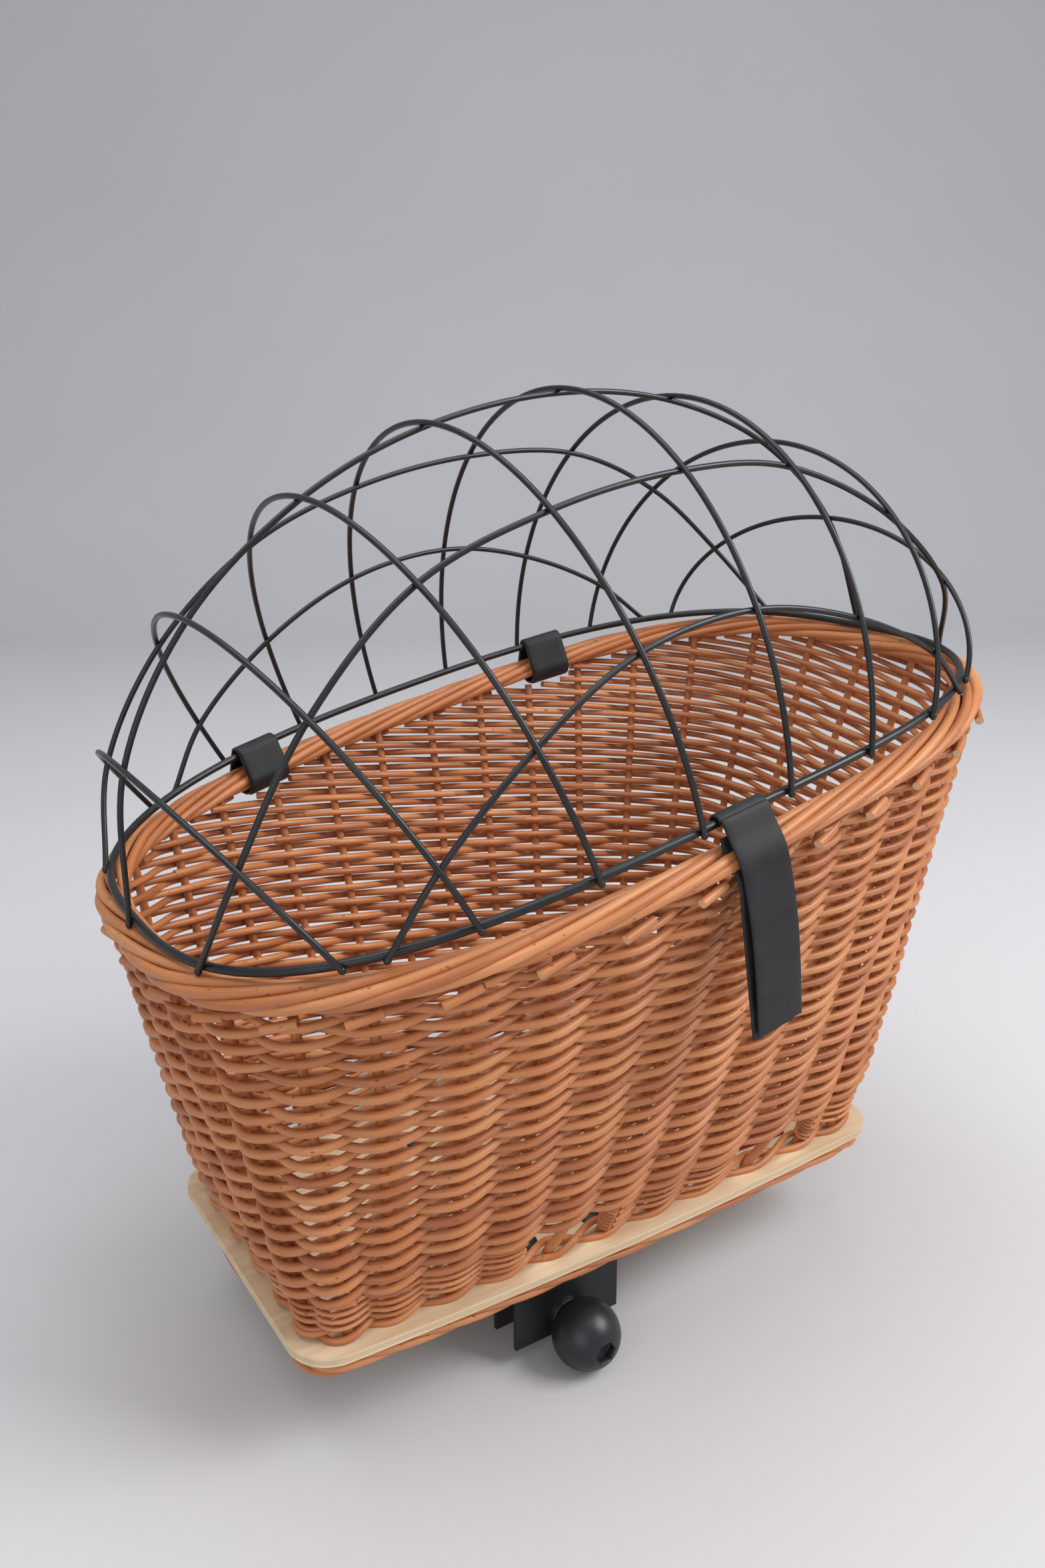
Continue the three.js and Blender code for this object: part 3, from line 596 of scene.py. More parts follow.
class Bundle:
    """A mesh of many swept rods or strips, each with its own tone."""

    grain_offset: float = 7.3
    cut_share: float = 0.86

    def __init__(self) -> None:
        """Starts with nothing."""
        self.points: list[Array] = []
        self.faces: list[tuple[int, ...]] = []
        self.tone: list[Array] = []
        self.cut: list[Array] = []
        self.grain: list[Array] = []
        self.count = 0

    def _take(self, points: Array, tone: float, cut: Array, grain: Array) -> int:
        """Adds points with their attributes and returns the number of the first one."""
        start = self.count
        self.points.append(points)
        self.tone.append(np.full(len(points), tone))
        self.cut.append(cut)
        self.grain.append(grain)
        self.count += len(points)
        return start

    def sweep(
        self,
        path: Array,
        profile: Array,
        sides: Array,
        lifts: Array,
        tone: float = 0.5,
        cuts: tuple[bool, bool] = (False, False),
        looped: bool = False,
    ) -> None:
        """Adds a solid swept along a path.

        Args:
            path: The path's points.
            profile: The section at each point: an array of rows, corners and two offsets.
            sides: The unit vector of the section's first offset at each point.
            lifts: The unit vector of the section's second offset at each point.
            tone: The rod's own tone, from 0 to 1.
            cuts: Whether the first and the last end show a fresh cut.
            looped: Whether the path closes on itself.
        """
        rows, corners = profile.shape[:2]
        points = path[:, None] + profile[..., :1] * sides[:, None] + profile[..., 1:] * lifts[:, None]
        steps = np.linalg.norm(np.diff(path, axis=0), axis=1)
        along = np.concatenate([[0.0], np.cumsum(steps)]) + tone * self.grain_offset
        grain = np.concatenate([np.broadcast_to(along[:, None, None], (rows, corners, 1)), profile], axis=-1)
        start = self._take(points.reshape(-1, 3), tone, np.zeros(rows * corners), grain.reshape(-1, 3))
        corner = np.arange(corners)
        following = (corner + 1) % corners
        for row in range(rows if looped else rows - 1):
            near, far = start + row * corners, start + (row + 1) % rows * corners
            quads = np.stack([near + corner, near + following, far + following, far + corner], axis=-1)
            self.faces.extend(map(tuple, quads.tolist()))
        if looped:
            return
        for row, fresh, flip in ((0, cuts[0], True), (rows - 1, cuts[1], False)):
            edge = start + row * corners + corner
            tip = np.array([[along[row], 0.0, 0.0]])
            middle = self._take(path[row][None], tone, np.array([float(fresh)]), tip)
            rim = edge
            if fresh:
                pale = path[row] + (points[row] - path[row]) * self.cut_share
                rim = corner + self._take(pale, tone, np.ones(corners), grain[row])
                pairs = np.stack([edge, edge[following], rim[following], rim], axis=-1)
                self.faces.extend(map(tuple, (pairs[:, ::-1] if flip else pairs).tolist()))
            fan = np.stack([rim, rim[following], np.full(corners, middle)], axis=-1)
            self.faces.extend(map(tuple, (fan[:, ::-1] if flip else fan).tolist()))

    def rod(
        self,
        path: Array,
        radius: Union[float, Array],
        up: Array = UP,
        sides: int = 10,
        tone: float = 0.5,
        cuts: tuple[bool, bool] = (False, False),
        looped: bool = False,
    ) -> None:
        """Adds a round rod.

        Args:
            path: The middle line.
            radius: The radius, alike all along or at each point.
            up: A direction that is never along the rod.
            sides: How many sides the rod has.
            tone: The rod's own tone, from 0 to 1.
            cuts: Whether the first and the last end show a fresh cut.
            looped: Whether the path closes on itself.
        """
        if looped:
            ahead, behind = np.roll(path, -1, axis=0), np.roll(path, 1, axis=0)
            tangent = unit(ahead - behind)
        else:
            tangent = unit(np.gradient(path, axis=0))
        side = unit(np.cross(tangent, up))
        lift = np.cross(side, tangent)
        angle = np.arange(sides) * TURN / sides
        circle = np.stack([np.cos(angle), np.sin(angle)], axis=-1)
        radii = np.broadcast_to(radius, (len(path),))
        self.sweep(path, radii[:, None, None] * circle, side, lift, tone, cuts, looped)

    def build(
        self,
        name: str,
        material: bpy.types.Material,
        body: Body,
        slot: str,
        replaced: Sequence[str] = (),
        sharp: float = 50.0,
    ) -> bpy.types.Object:
        """Makes the piece.

        Args:
            name: The piece's name.
            material: Its finish.
            body: The body that it moves with.
            slot: The record's material slot; not used.
            replaced: The nodes that it stands for.
            sharp: The angle in degrees past which an edge stays sharp.

        Returns:
            The new object.
        """
        mesh = bpy.data.meshes.new(name)
        mesh.from_pydata((np.vstack(self.points) + PLAN.shift).tolist(), [], self.faces)
        tone = mesh.attributes.new("tone", "FLOAT", "POINT")
        tone.data.foreach_set("value", np.concatenate(self.tone))
        cut = mesh.attributes.new("cut", "FLOAT", "POINT")
        cut.data.foreach_set("value", np.concatenate(self.cut))
        grain = mesh.attributes.new("grain", "FLOAT_VECTOR", "POINT")
        grain.data.foreach_set("vector", np.vstack(self.grain).ravel())
        mesh.validate()
        return dress(mesh, name, material, body, replaced, sharp)


def dress(
    mesh: bpy.types.Mesh,
    name: str,
    material: bpy.types.Material,
    body: Body,
    replaced: Sequence[str] = (),
    sharp: float = 50.0,
) -> bpy.types.Object:
    """Turns a mesh into a finished piece.

    Args:
        mesh: The piece's mesh.
        name: The piece's name.
        material: Its finish.
        body: The body that it moves with.
        replaced: The nodes that it stands for.
        sharp: The angle in degrees past which an edge stays sharp.

    Returns:
        The new object.
    """
    mesh.shade_smooth()
    mesh.set_sharp_from_angle(angle=math.radians(sharp))
    mesh.materials.append(material)
    piece = bpy.data.objects.new(name, mesh)
    bpy.context.scene.collection.objects.link(piece)
    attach(piece, body.value)
    if replaced:
        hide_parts(*replaced)
    log.info("%s: %d faces", name, len(mesh.polygons))
    return piece


def finish_nodes(material: bpy.types.Material, *nodes: str, bevel: float = 0.0) -> None:
    """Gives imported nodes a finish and, where asked, softer edges."""
    for name in nodes:
        node = bpy.data.objects[name]
        for place in range(len(node.material_slots)):
            node.material_slots[place].material = material
        if bevel:
            soft = node.modifiers.new("soft_edges", "BEVEL")
            soft.width = bevel
            soft.segments = BEVEL_SEGMENTS
            soft.limit_method = "ANGLE"
            soft.angle_limit = BEVEL_ANGLE


@dataclass(frozen=True)
class Roll:
    """The sizes of a border that is rolled from rods starting at each stake.

    The angles run in degrees round the border, from outward turning upward, and the span and the
    steps are counted in stakes.
    """

    half_width: float
    half_height: float
    rod_radius: float
    span: float
    angles: tuple[float, float]
    steps: int = 9
    wander: float = 0.25 * MM
    start_tuck: float = 0.35
    end_tuck: float = 0.25
    spread: tuple[float, float] = (0.93, 1.05)
    taper: float = 0.12


@dataclass
class Weaving:
    """The willow body: stakes, French randing, the thin band with its windows, and both borders."""

    material: bpy.types.Material
    stakes: int = 34
    foot_places: tuple[tuple[float, float], ...] = (
        (5, 0.158), (11, 0.331), (18, 0.542), (21, 0.6135), (25, 0.734),
        (27, 0.801), (28, 0.842), (29, 0.878), (39, 1.158),
    )
    top_places: tuple[tuple[float, float], ...] = (
        (5, 0.158), (11, 0.331), (18, 0.534), (21, 0.6115), (25, 0.732),
        (27, 0.783), (28, 0.81), (29, 0.838), (39, 1.158),
    )
    stake_radius: float = 3.1 * MM
    stake_foot_share: float = 1.04
    stake_taper: float = 0.12
    stake_reach: float = 3 * MM
    weaver_butt: float = 2.8 * MM
    weaver_tip: float = 2.25 * MM
    weaver_reach: float = 3.5 * MM
    weaver_press: float = 0.1 * MM
    weaver_spread: float = 0.045
    taper_rows: int = 50
    ripples: tuple[tuple[float, float], ...] = ((0.3 * MM, 1.7), (0.2 * MM, 0.6))
    sway: tuple[float, float] = (0.25 * MM, 0.9)
    joint_past: float = 0.35
    joint_lap: float = 0.7
    rows: int = 60
    first_row: float = 45.5 * MM
    pitch: float = 5.72 * MM
    pitch_loss: float = 0.011 * MM
    rod_spans: tuple[int, int] = (24, 33)
    steps: int = 8
    thin_radius: float = 1.45 * MM
    thin_rows: int = 8
    thin_steps: int = 10
    thin_sway: float = 0.35 * MM
    thin_spread: tuple[float, float] = (0.9, 1.08)
    wrap_lap: float = 0.15
    wrap_steps: int = 16
    wrap_climb: float = 0.8
    foot_waling_radius: float = 2.35 * MM
    window_waling_radius: float = 2.6 * MM
    window_waling_rise: float = 3.0 * MM
    waling_spread: float = 1.02
    waling_tone: float = 0.3
    top_roll: Roll = Roll(PLAN.border_width / 2, PLAN.border_height / 2, 3.25 * MM, 6.0, (-75, 250))
    foot_roll: Roll = Roll(6.5 * MM, 6 * MM, 2.6 * MM, 3.6, (80, -200))
    foot_roll_inset: float = 9 * MM
    end_radius: float = 2.75 * MM
    end_places: tuple[float, float] = (0.10, -0.42)
    end_reach: tuple[float, float] = (5.2 * MM, 4.2 * MM)
    end_drop: tuple[float, float] = (-10.6 * MM, -1.6 * MM)
    window_top: float = 38.6 * MM
    windows: tuple[tuple[float, float], ...] = ((-93 * MM, -29 * MM), (78 * MM, 140 * MM))
    window_stakes: tuple[int, ...] = (24, 28)
    window_lean: tuple[float, ...] = (4.5 * MM, 7.5 * MM)
    lean_end: float = 50 * MM
    strap_places: tuple[float, ...] = (-138 * MM, 116 * MM)
    strap_half: float = 19 * MM
    strap_clear: float = 7 * MM
    wall: Wall = field(default_factory=Wall)

    def __post_init__(self) -> None:
        """Starts the draws of chance."""
        self.chance = np.random.default_rng(SEED)

    def share(self, index: Array, height: Array) -> Array:
        """Returns the share round the wall of a stake, or of a place between two, at a height."""
        ends = []
        for places in (self.foot_places, self.top_places):
            at, share = (np.array(column) for column in zip(*places))
            turns = range(-2, 4)
            all_at = np.concatenate([at[:-1] + turn * self.stakes for turn in turns])
            all_share = np.concatenate([share[:-1] + turn for turn in turns])
            ends.append(np.interp(index, all_at, all_share))
        lift = np.clip(self.wall.lift(ends[1], height), 0.0, 1.0)
        return ends[0] * (1 - lift) + ends[1] * lift

    def row_height(self, row: Array) -> Array:
        """Returns the level of a row, counted from the top of the thin band."""
        return PLAN.board_low + self.first_row + self.pitch * row - self.pitch_loss * row * row / 2

    def strap_drop(self, share: Array) -> Array:
        """Returns how much lower the weave stops where a hinge strap passes through it."""
        plan = self.wall.rim.at(share)
        near = np.zeros(share.shape, bool)
        for place in self.strap_places:
            near |= (np.abs(plan[..., 0] - place) < self.strap_half) & (plan[..., 1] > 0)
        return np.where(near, self.strap_clear, 0.0)

    def build(self) -> None:
        """Makes every willow piece."""
        self.make_stakes()
        self.make_randing()
        self.make_band()
        self.make_waling()
        self.make_top_border()
        self.make_foot_border()

    def stake_path(self, stake: int, low: float, count: int = 48) -> Array:
        """Returns a stake's middle line from a level up into the border."""
        share = self.share(np.array([float(stake)]), np.array([1.0]))
        high = self.wall.top(share)[0, 2] + self.stake_reach - float(self.strap_drop(share)[0])
        height = np.linspace(low, high, count)
        share = self.share(np.full(count, float(stake)), height)
        path = self.wall.point(share, height)
        if stake in self.window_stakes:
            lean = self.window_lean[self.window_stakes.index(stake)]
            window_top = PLAN.board_low + self.window_top
            middle = (low + window_top) / 2
            inside = (height - middle) / (window_top - middle)
            after = np.clip(1 - (height - window_top) / self.lean_end, 0.0, 1.0)
            path[:, 0] += lean * np.where(inside < 1, inside, smooth(after))
        return path

    def make_stakes(self) -> None:
        """Makes the upright stakes."""
        bundle = Bundle()
        low = PLAN.board_low + PLAN.board_thickness + PLAN.seat_gap
        sideways = np.array([0.6, 0.8, 0.1])
        for stake in range(self.stakes):
            path = self.stake_path(stake, low)
            taper = self.stake_foot_share - self.stake_taper * np.linspace(0, 1, len(path))
            bundle.rod(path, self.stake_radius * taper, up=sideways, tone=self.chance.uniform(0.1, 0.6))
        nodes = ["window_stake_left", "window_stake_right"]
        bundle.build("willow_stakes", self.material, Body.BASKET, "willow", nodes)

    def lay(self, index: Array, height: Array, out: Array) -> Array:
        """Returns points on the wall at places between stakes, moved out of its middle surface."""
        share = self.share(index, height)
        return self.wall.point(share, height) + self.wall.outward(share, height) * out[:, None]

    def make_randing(self) -> None:
        """Makes the weavers: each goes before one stake and behind the next and climbs a row at each."""
        bundle = Bundle()
        row = np.arange(self.rows * self.steps + 1) / self.steps
        height = self.row_height(row)
        for start in range(self.stakes):
            share = self.share(start + row, height)
            limit = self.wall.top(share)[..., 2] + self.weaver_reach - self.strap_drop(share)
            inside = height + self.weaver_butt < limit
            edges = np.flatnonzero(np.diff(np.concatenate([[0], inside.astype(int), [0]])))
            for first, last in zip(edges[::2], edges[1::2]):
                self.lay_weavers(bundle, start, row[first:last])
        bundle.build("french_randing", self.material, Body.BASKET, "willow", ["woven_wall"])

    def lay_weavers(self, bundle: Bundle, start: int, rows: Array) -> None:
        """Adds the rods of one unbroken climb, joined behind a stake where one runs out."""
        if len(rows) < self.steps:
            return
        begin = rows[0]
        while begin < rows[-1]:
            span = int(self.chance.integers(*self.rod_spans))
            end = 2 * math.ceil((begin + span) / 2) + self.joint_past
            piece = rows[(rows >= begin) & (rows <= end)]
            last = end >= rows[-1]
            if len(piece) < 4:
                return
            tone = self.chance.uniform(0.0, 1.0)
            thick = self.chance.normal(1.0, self.weaver_spread)
            wander = self.chance.uniform(0, TURN, 3)
            waves = zip((*self.ripples, self.sway), wander)
            *ripples, sway = [size * np.sin(piece * pace + phase) for (size, pace), phase in waves]
            taper = (self.weaver_tip - self.weaver_butt) * piece / self.taper_rows
            radius = (self.weaver_butt + taper) * thick
            reach = self.stake_radius + radius - self.weaver_press
            out = -reach * np.cos(math.pi * piece) + sway
            path = self.lay(start + piece, self.row_height(piece) + sum(ripples), out)
            bundle.rod(path, radius, tone=tone, cuts=(True, not last))
            begin = end - self.joint_lap

    def band_runs(self) -> list[tuple[float, float]]:
        """Returns the stretches of the thin band between windows, in places between stakes."""
        index = np.linspace(0.0, self.stakes, 2001)
        height = np.full(index.shape, PLAN.wall_foot + 10 * MM)
        points = self.wall.point(self.share(index, height), height)
        open_at = []
        for low, high in self.windows:
            inside = (points[:, 1] < 0) & (points[:, 0] > low) & (points[:, 0] < high)
            open_at.append((index[inside][0], index[inside][-1]))
        (first, second), (third, fourth) = open_at
        return [(second, third), (fourth - self.stakes, first)]

    def make_band(self) -> None:
        """Makes the band of thin rods beside the windows; its rods turn back round the far jambs."""
        bundle = Bundle()
        low = PLAN.wall_foot + self.thin_radius
        high = PLAN.board_low + self.window_top - self.thin_radius
        levels = np.linspace(low, high, self.thin_rows)
        reach = self.stake_radius + self.thin_radius
        for begin, end in self.band_runs():
            index = np.linspace(begin, end, int((end - begin) * self.thin_steps))
            jamb = round(begin)
            for row, level in enumerate(levels):
                tone = self.chance.uniform(0.1, 0.9)
                side = 1 if row % 2 else -1
                out = side * reach * np.cos(math.pi * index)
                wander = self.thin_sway * np.sin(index * 2.1 + tone * 9)
                start = index > jamb - 0.02
                path = self.lay(index[start], level + wander[start], out[start])
                radius = self.thin_radius * self.chance.uniform(*self.thin_spread)
                bundle.rod(path, radius, sides=8, tone=tone, cuts=(False, True))
            self.wrap_jamb(bundle, jamb, levels, reach)
        bundle.build("thin_band", self.material, Body.BASKET, "willow")

    def wrap_jamb(self, bundle: Bundle, stake: int, levels: Array, reach: float) -> None:
        """Adds the turns of thin rod round the stake at the side of a window."""
        for level in levels:
            angle = np.linspace(-self.wrap_lap, math.pi + self.wrap_lap, self.wrap_steps)
            height = level + (levels[1] - levels[0]) * (angle / math.pi - 0.5) * self.wrap_climb
            share = self.share(np.full(len(angle), float(stake)), height)
            middle = self.wall.point(share, height)
            out = self.wall.outward(share, height)
            along = unit(np.cross(out, UP))
            path = middle + reach * (np.cos(angle)[:, None] * out + np.sin(angle)[:, None] * along)
            bundle.rod(path, self.thin_radius, sides=8, tone=self.chance.uniform(0, 0.6))

    def make_waling(self) -> None:
        """Makes the pairs of stout rods twined under and over the thin band."""
        at_foot = PLAN.wall_foot - PLAN.waling_height / 2 - PLAN.seat_gap
        at_windows = PLAN.board_low + self.window_top + self.window_waling_rise
        for name, middle, radius, replaced in (
            ("foot_waling", at_foot, self.foot_waling_radius, ["lower_waling"]),
            ("window_waling", at_windows, self.window_waling_radius, []),
        ):
            bundle = Bundle()
            steps = np.arange(self.stakes * self.steps) / self.steps
            reach = self.stake_radius + radius
            for strand in (0, 1):
                phase = math.pi * (steps + strand)
                height = middle + self.waling_spread * radius * np.sin(phase)
                path = self.lay(steps, height, reach * np.cos(phase))
                bundle.rod(path, radius, tone=self.waling_tone * (1 + strand), looped=True)
            bundle.build(name, self.material, Body.BASKET, "willow", replaced)

    def rolled(
        self,
        bundle: Bundle,
        middle: Callable[[Array], tuple[Array, Array, Array]],
        roll: Roll,
    ) -> None:
        """Adds a border of rods that start at each stake and roll over each other.

        Args:
            bundle: Where the rods go.
            middle: Gives the border's middle, its outward and its upward vectors between stakes.
            roll: The border's sizes.
        """
        first, last = (math.radians(angle) for angle in roll.angles)
        half_width = roll.half_width - roll.rod_radius
        half_height = roll.half_height - roll.rod_radius
        steps = np.linspace(0.0, 1.0, int(roll.span * roll.steps))
        angle = first + (last - first) * steps
        inward = 1 - roll.start_tuck * (1 - smooth(steps * 8)) - roll.end_tuck * smooth(steps * 10 - 9)
        for stake in range(self.stakes):
            centre, out, up = middle(stake + steps * roll.span)
            wander = self.chance.normal(0, roll.wander, 2)
            across = (half_width + wander[0]) * np.cos(angle) * inward
            lift = (half_height + wander[1]) * np.sin(angle) * inward
            path = centre + out * across[:, None] + up * lift[:, None]
            thick = roll.rod_radius * self.chance.uniform(*roll.spread) * (1.0 - roll.taper * steps)
            bundle.rod(path, thick, tone=self.chance.uniform(0.15, 1.0), cuts=(False, True))

    def make_top_border(self) -> None:
        """Makes the rolled border under the lid's ring, and the trimmed ends below it."""

        def middle(index: Array) -> tuple[Array, Array, Array]:
            """Returns the top border's middle, outward and upward vectors."""
            share = self.share(index, np.full(index.shape, 1.0))
            plan, outward = self.wall.rim.at(share), self.wall.rim.outward(share)
            level = np.full((len(index), 1), PLAN.border_middle)
            centre = PLAN.tilt(np.concatenate([plan, level], axis=-1))
            origin = PLAN.tilt(np.zeros(3))
            out = PLAN.tilt(np.concatenate([outward, 0 * level], axis=-1)) - origin
            up = np.broadcast_to(PLAN.tilt(UP) - origin, out.shape)
            return centre, out, up

        bundle = Bundle()
        self.rolled(bundle, middle, self.top_roll)
        steps = np.linspace(0.0, 1.0, 6)
        place, reach, drop = (
            start + change * steps for start, change in (self.end_places, self.end_reach, self.end_drop)
        )
        for stake in range(self.stakes):
            if float(self.strap_drop(self.share(np.array([stake + 0.0]), np.array([1.0])))[0]):
                continue
            centre, out, up = middle(stake + place)
            path = centre + out * reach[:, None] + up * drop[:, None]
            bundle.rod(path, self.end_radius, tone=self.chance.uniform(0.3, 0.9), cuts=(False, True))
        bundle.build("rolled_border", self.material, Body.BASKET, "willow", ["top_border"])

    def make_foot_border(self) -> None:
        """Makes the border that closes the stakes' ends under the board."""
        line = PLAN.board_line(self.foot_roll_inset)
        level = PLAN.board_low - PLAN.seat_gap - self.foot_roll.half_height

        def middle(index: Array) -> tuple[Array, Array, Array]:
            """Returns the foot border's middle, outward and upward vectors."""
            share = self.share(index, np.full(index.shape, PLAN.board_low))
            plan, outward = line.at(share), line.outward(share)
            height = np.full((len(index), 1), level)
            centre = np.concatenate([plan + [PLAN.board_shift, 0.0], height], axis=-1)
            out = np.concatenate([outward, 0 * height], axis=-1)
            return centre, out, np.broadcast_to(UP, out.shape)

        bundle = Bundle()
        self.rolled(bundle, middle, self.foot_roll)
        bundle.build("rolled_foot", self.material, Body.BASKET, "willow", ["foot_border"])


@dataclass
class WireLid:
    """The dome: a ring, eight leaning hoops and five long wires, with beads of weld at their feet."""

    material: bpy.types.Material
    dome_height: float = 213 * MM
    dome_half_length: float = 284 * MM
    foot_drop: float = 1.2 * MM
    foot_reach_share: float = 0.8
    tie_depth_share: float = 0.82
    bead_share: float = 1.22
    hoops: int = 8
    ring_steps: int = 240
    hoop_steps: int = 72
    tie_steps: int = 14
    low_foot: float = 0.72
    high_foot: float = 0.963
    foot_shares: tuple[float, ...] = (0.11, 0.34, 0.567, 0.787)
    top_shares: tuple[float, ...] = (0.168, 0.467, 0.744, 0.935)
    low_angles: tuple[float, ...] = (14, 23, 28, 28, 23, 14)
    high_angles: tuple[float, ...] = (40, 49, 54, 53.5, 53.5, 54, 49, 40)

    def __post_init__(self) -> None:
        """Reads the ring's plan."""
        self.half_length = PLAN.rim_half_length - PLAN.ring_inset
        self.half_width = PLAN.rim_half_width - PLAN.ring_inset

    def ring_height(self, across: Array) -> Array:
        """Returns the level of the ring's middle line, square to the rim."""
        return -PLAN.ring_sag * (across / self.half_length) ** 2

    def ring_width(self, across: float) -> float:
        """Returns the ring's half width at a place along it."""
        share = abs(across) / self.half_length
        return self.half_width * (1 - share ** PLAN.rim_fullness) ** (1 / PLAN.rim_fullness)

    def foot(self, share: float, side: float) -> Array:
        """Returns where a wire meets the outer side of the ring."""
        across = self.half_length * share
        reach = PLAN.ring_radius + PLAN.wire_radius * self.foot_reach_share
        height = self.ring_height(across) - self.foot_drop
        if abs(share) == 1:
            return np.array([across + math.copysign(reach, share), 0.0, height])
        width = self.ring_width(across)
        power = PLAN.rim_fullness - 1
        out = unit(np.array([
            math.copysign((abs(across) / self.half_length) ** power / self.half_length, share),
            (width / self.half_width) ** power / self.half_width,
        ]))
        return np.array([across + out[0] * reach, side * (width + out[1] * reach), height])

    def hoop_point(self, number: int, angle: Array, depth: float = 0.0) -> Array:
        """Returns points of a hoop at angles in degrees from its front foot, drawn in by a depth."""
        half = self.hoops // 2
        side = -1 if number < half else 1
        pick = half - 1 - number if number < half else number - half
        foot = self.foot(side * self.foot_shares[pick], 1)
        top_share = self.top_shares[pick]
        top_height = self.dome_height * math.sqrt(1 - top_share ** 2)
        top = np.array([side * top_share * self.dome_half_length, 0.0, top_height])
        middle = np.array([foot[0], 0.0, foot[2]])
        rise = top - middle
        height = np.linalg.norm(rise)
        turn = np.radians(angle)
        points = middle + rise * ((height - depth) / height * np.sin(turn))[..., None]
        points[..., 1] = -(foot[1] - depth) * np.cos(turn)
        return points

    def long_wire(self, foot: float, side: float, angles: Sequence[float]) -> Array:
        """Returns the middle line of a long wire under the hoops that it crosses."""
        under = 2 * PLAN.wire_radius * self.tie_depth_share
        missed = (self.hoops - len(angles)) // 2
        ties = []
        for place, lift in enumerate(angles):
            angle = lift if side < 0 else 180 - lift
            ties.append(self.hoop_point(place + missed, np.array([float(angle)]), under)[0])
        points = np.array([self.foot(-foot, side), *ties, self.foot(foot, side)])
        return flowing_line(points, self.tie_steps)

    def weld(self, bundle: Bundle, place: Array, along: Array, radius: float) -> None:
        """Adds a small bead of weld."""
        steps = np.linspace(-1.0, 1.0, 7)
        path = place + unit(along) * (steps * radius * 1.2)[:, None]
        size = radius * np.sqrt(np.maximum(1 - steps ** 2, 0.02))
        bundle.rod(PLAN.tilt(path), size, up=np.array([0.31, 0.45, 0.83]), sides=10)

    def piece(self, name: str, path: Array, node: str) -> None:
        """Makes one wire, with a bead of weld at each foot."""
        bundle = Bundle()
        side = np.array([0.0, 1.0, 0.0]) if "long" in node else np.array([1.0, 0.0, 0.15])
        bundle.rod(PLAN.tilt(path), PLAN.wire_radius, up=side, sides=12)
        for place, along in ((path[0], path[1] - path[0]), (path[-1], path[-2] - path[-1])):
            self.weld(bundle, place, along, PLAN.wire_radius * self.bead_share)
        bundle.build(name, self.material, Body.LID, "black_wire", [node])

    def build(self) -> None:
        """Makes the ring and every wire."""
        angle = np.linspace(0.0, TURN, self.ring_steps, endpoint=False)
        ring = squared_ellipse(self.half_length, self.half_width, PLAN.rim_fullness)
        plan = ring.at(angle / TURN)
        path = np.concatenate([plan, self.ring_height(plan[:, :1])], axis=-1)
        bundle = Bundle()
        bundle.rod(PLAN.tilt(path), PLAN.ring_radius, sides=16, looped=True)
        bundle.build("ring_wire", self.material, Body.LID, "black_wire", ["lid_ring"])
        for number in range(self.hoops):
            path = self.hoop_point(number, np.linspace(0.0, 180.0, self.hoop_steps))
            self.piece(f"hoop_wire_{number + 1}", path, f"hoop_{number + 1}")
        for name, foot, side, angles in (
            ("back_low", self.low_foot, 1, self.low_angles),
            ("back_high", self.high_foot, 1, self.high_angles),
            ("ridge", 1.0, 1, (90.0,) * self.hoops),
            ("front_high", self.high_foot, -1, self.high_angles),
            ("front_low", self.low_foot, -1, self.low_angles),
        ):
            self.piece(f"dome_wire_{name}", self.long_wire(foot, side, angles), f"long_wire_{name}")


def flowing_line(points: Array, steps: int) -> Array:
    """Returns a smooth line through points, with even bends (centripetal Catmull-Rom).

    Args:
        points: The points to pass through.
        steps: How many steps each stretch takes.

    Returns:
        The line's points.
    """
    padded = np.vstack([2 * points[0] - points[1], points, 2 * points[-1] - points[-2]])
    line = []
    for place in range(1, len(padded) - 2):
        a, b, c, d = padded[place - 1:place + 3]
        spans = [max(np.linalg.norm(q - p), 1e-9) for p, q in ((a, b), (b, c), (c, d))]
        knots = np.cumsum([0.0, *(span ** 0.5 for span in spans)])
        at = np.linspace(knots[1], knots[2], steps, endpoint=False)[:, None]
        first = (a * (knots[1] - at) + b * (at - knots[0])) / (knots[1] - knots[0])
        second = (b * (knots[2] - at) + c * (at - knots[1])) / (knots[2] - knots[1])
        third = (c * (knots[3] - at) + d * (at - knots[2])) / (knots[3] - knots[2])
        left = (first * (knots[2] - at) + second * (at - knots[0])) / (knots[2] - knots[0])
        right = (second * (knots[3] - at) + third * (at - knots[1])) / (knots[3] - knots[1])
        line.append((left * (knots[2] - at) + right * (at - knots[1])) / (knots[2] - knots[1]))
    return np.vstack([*line, points[-1:]])


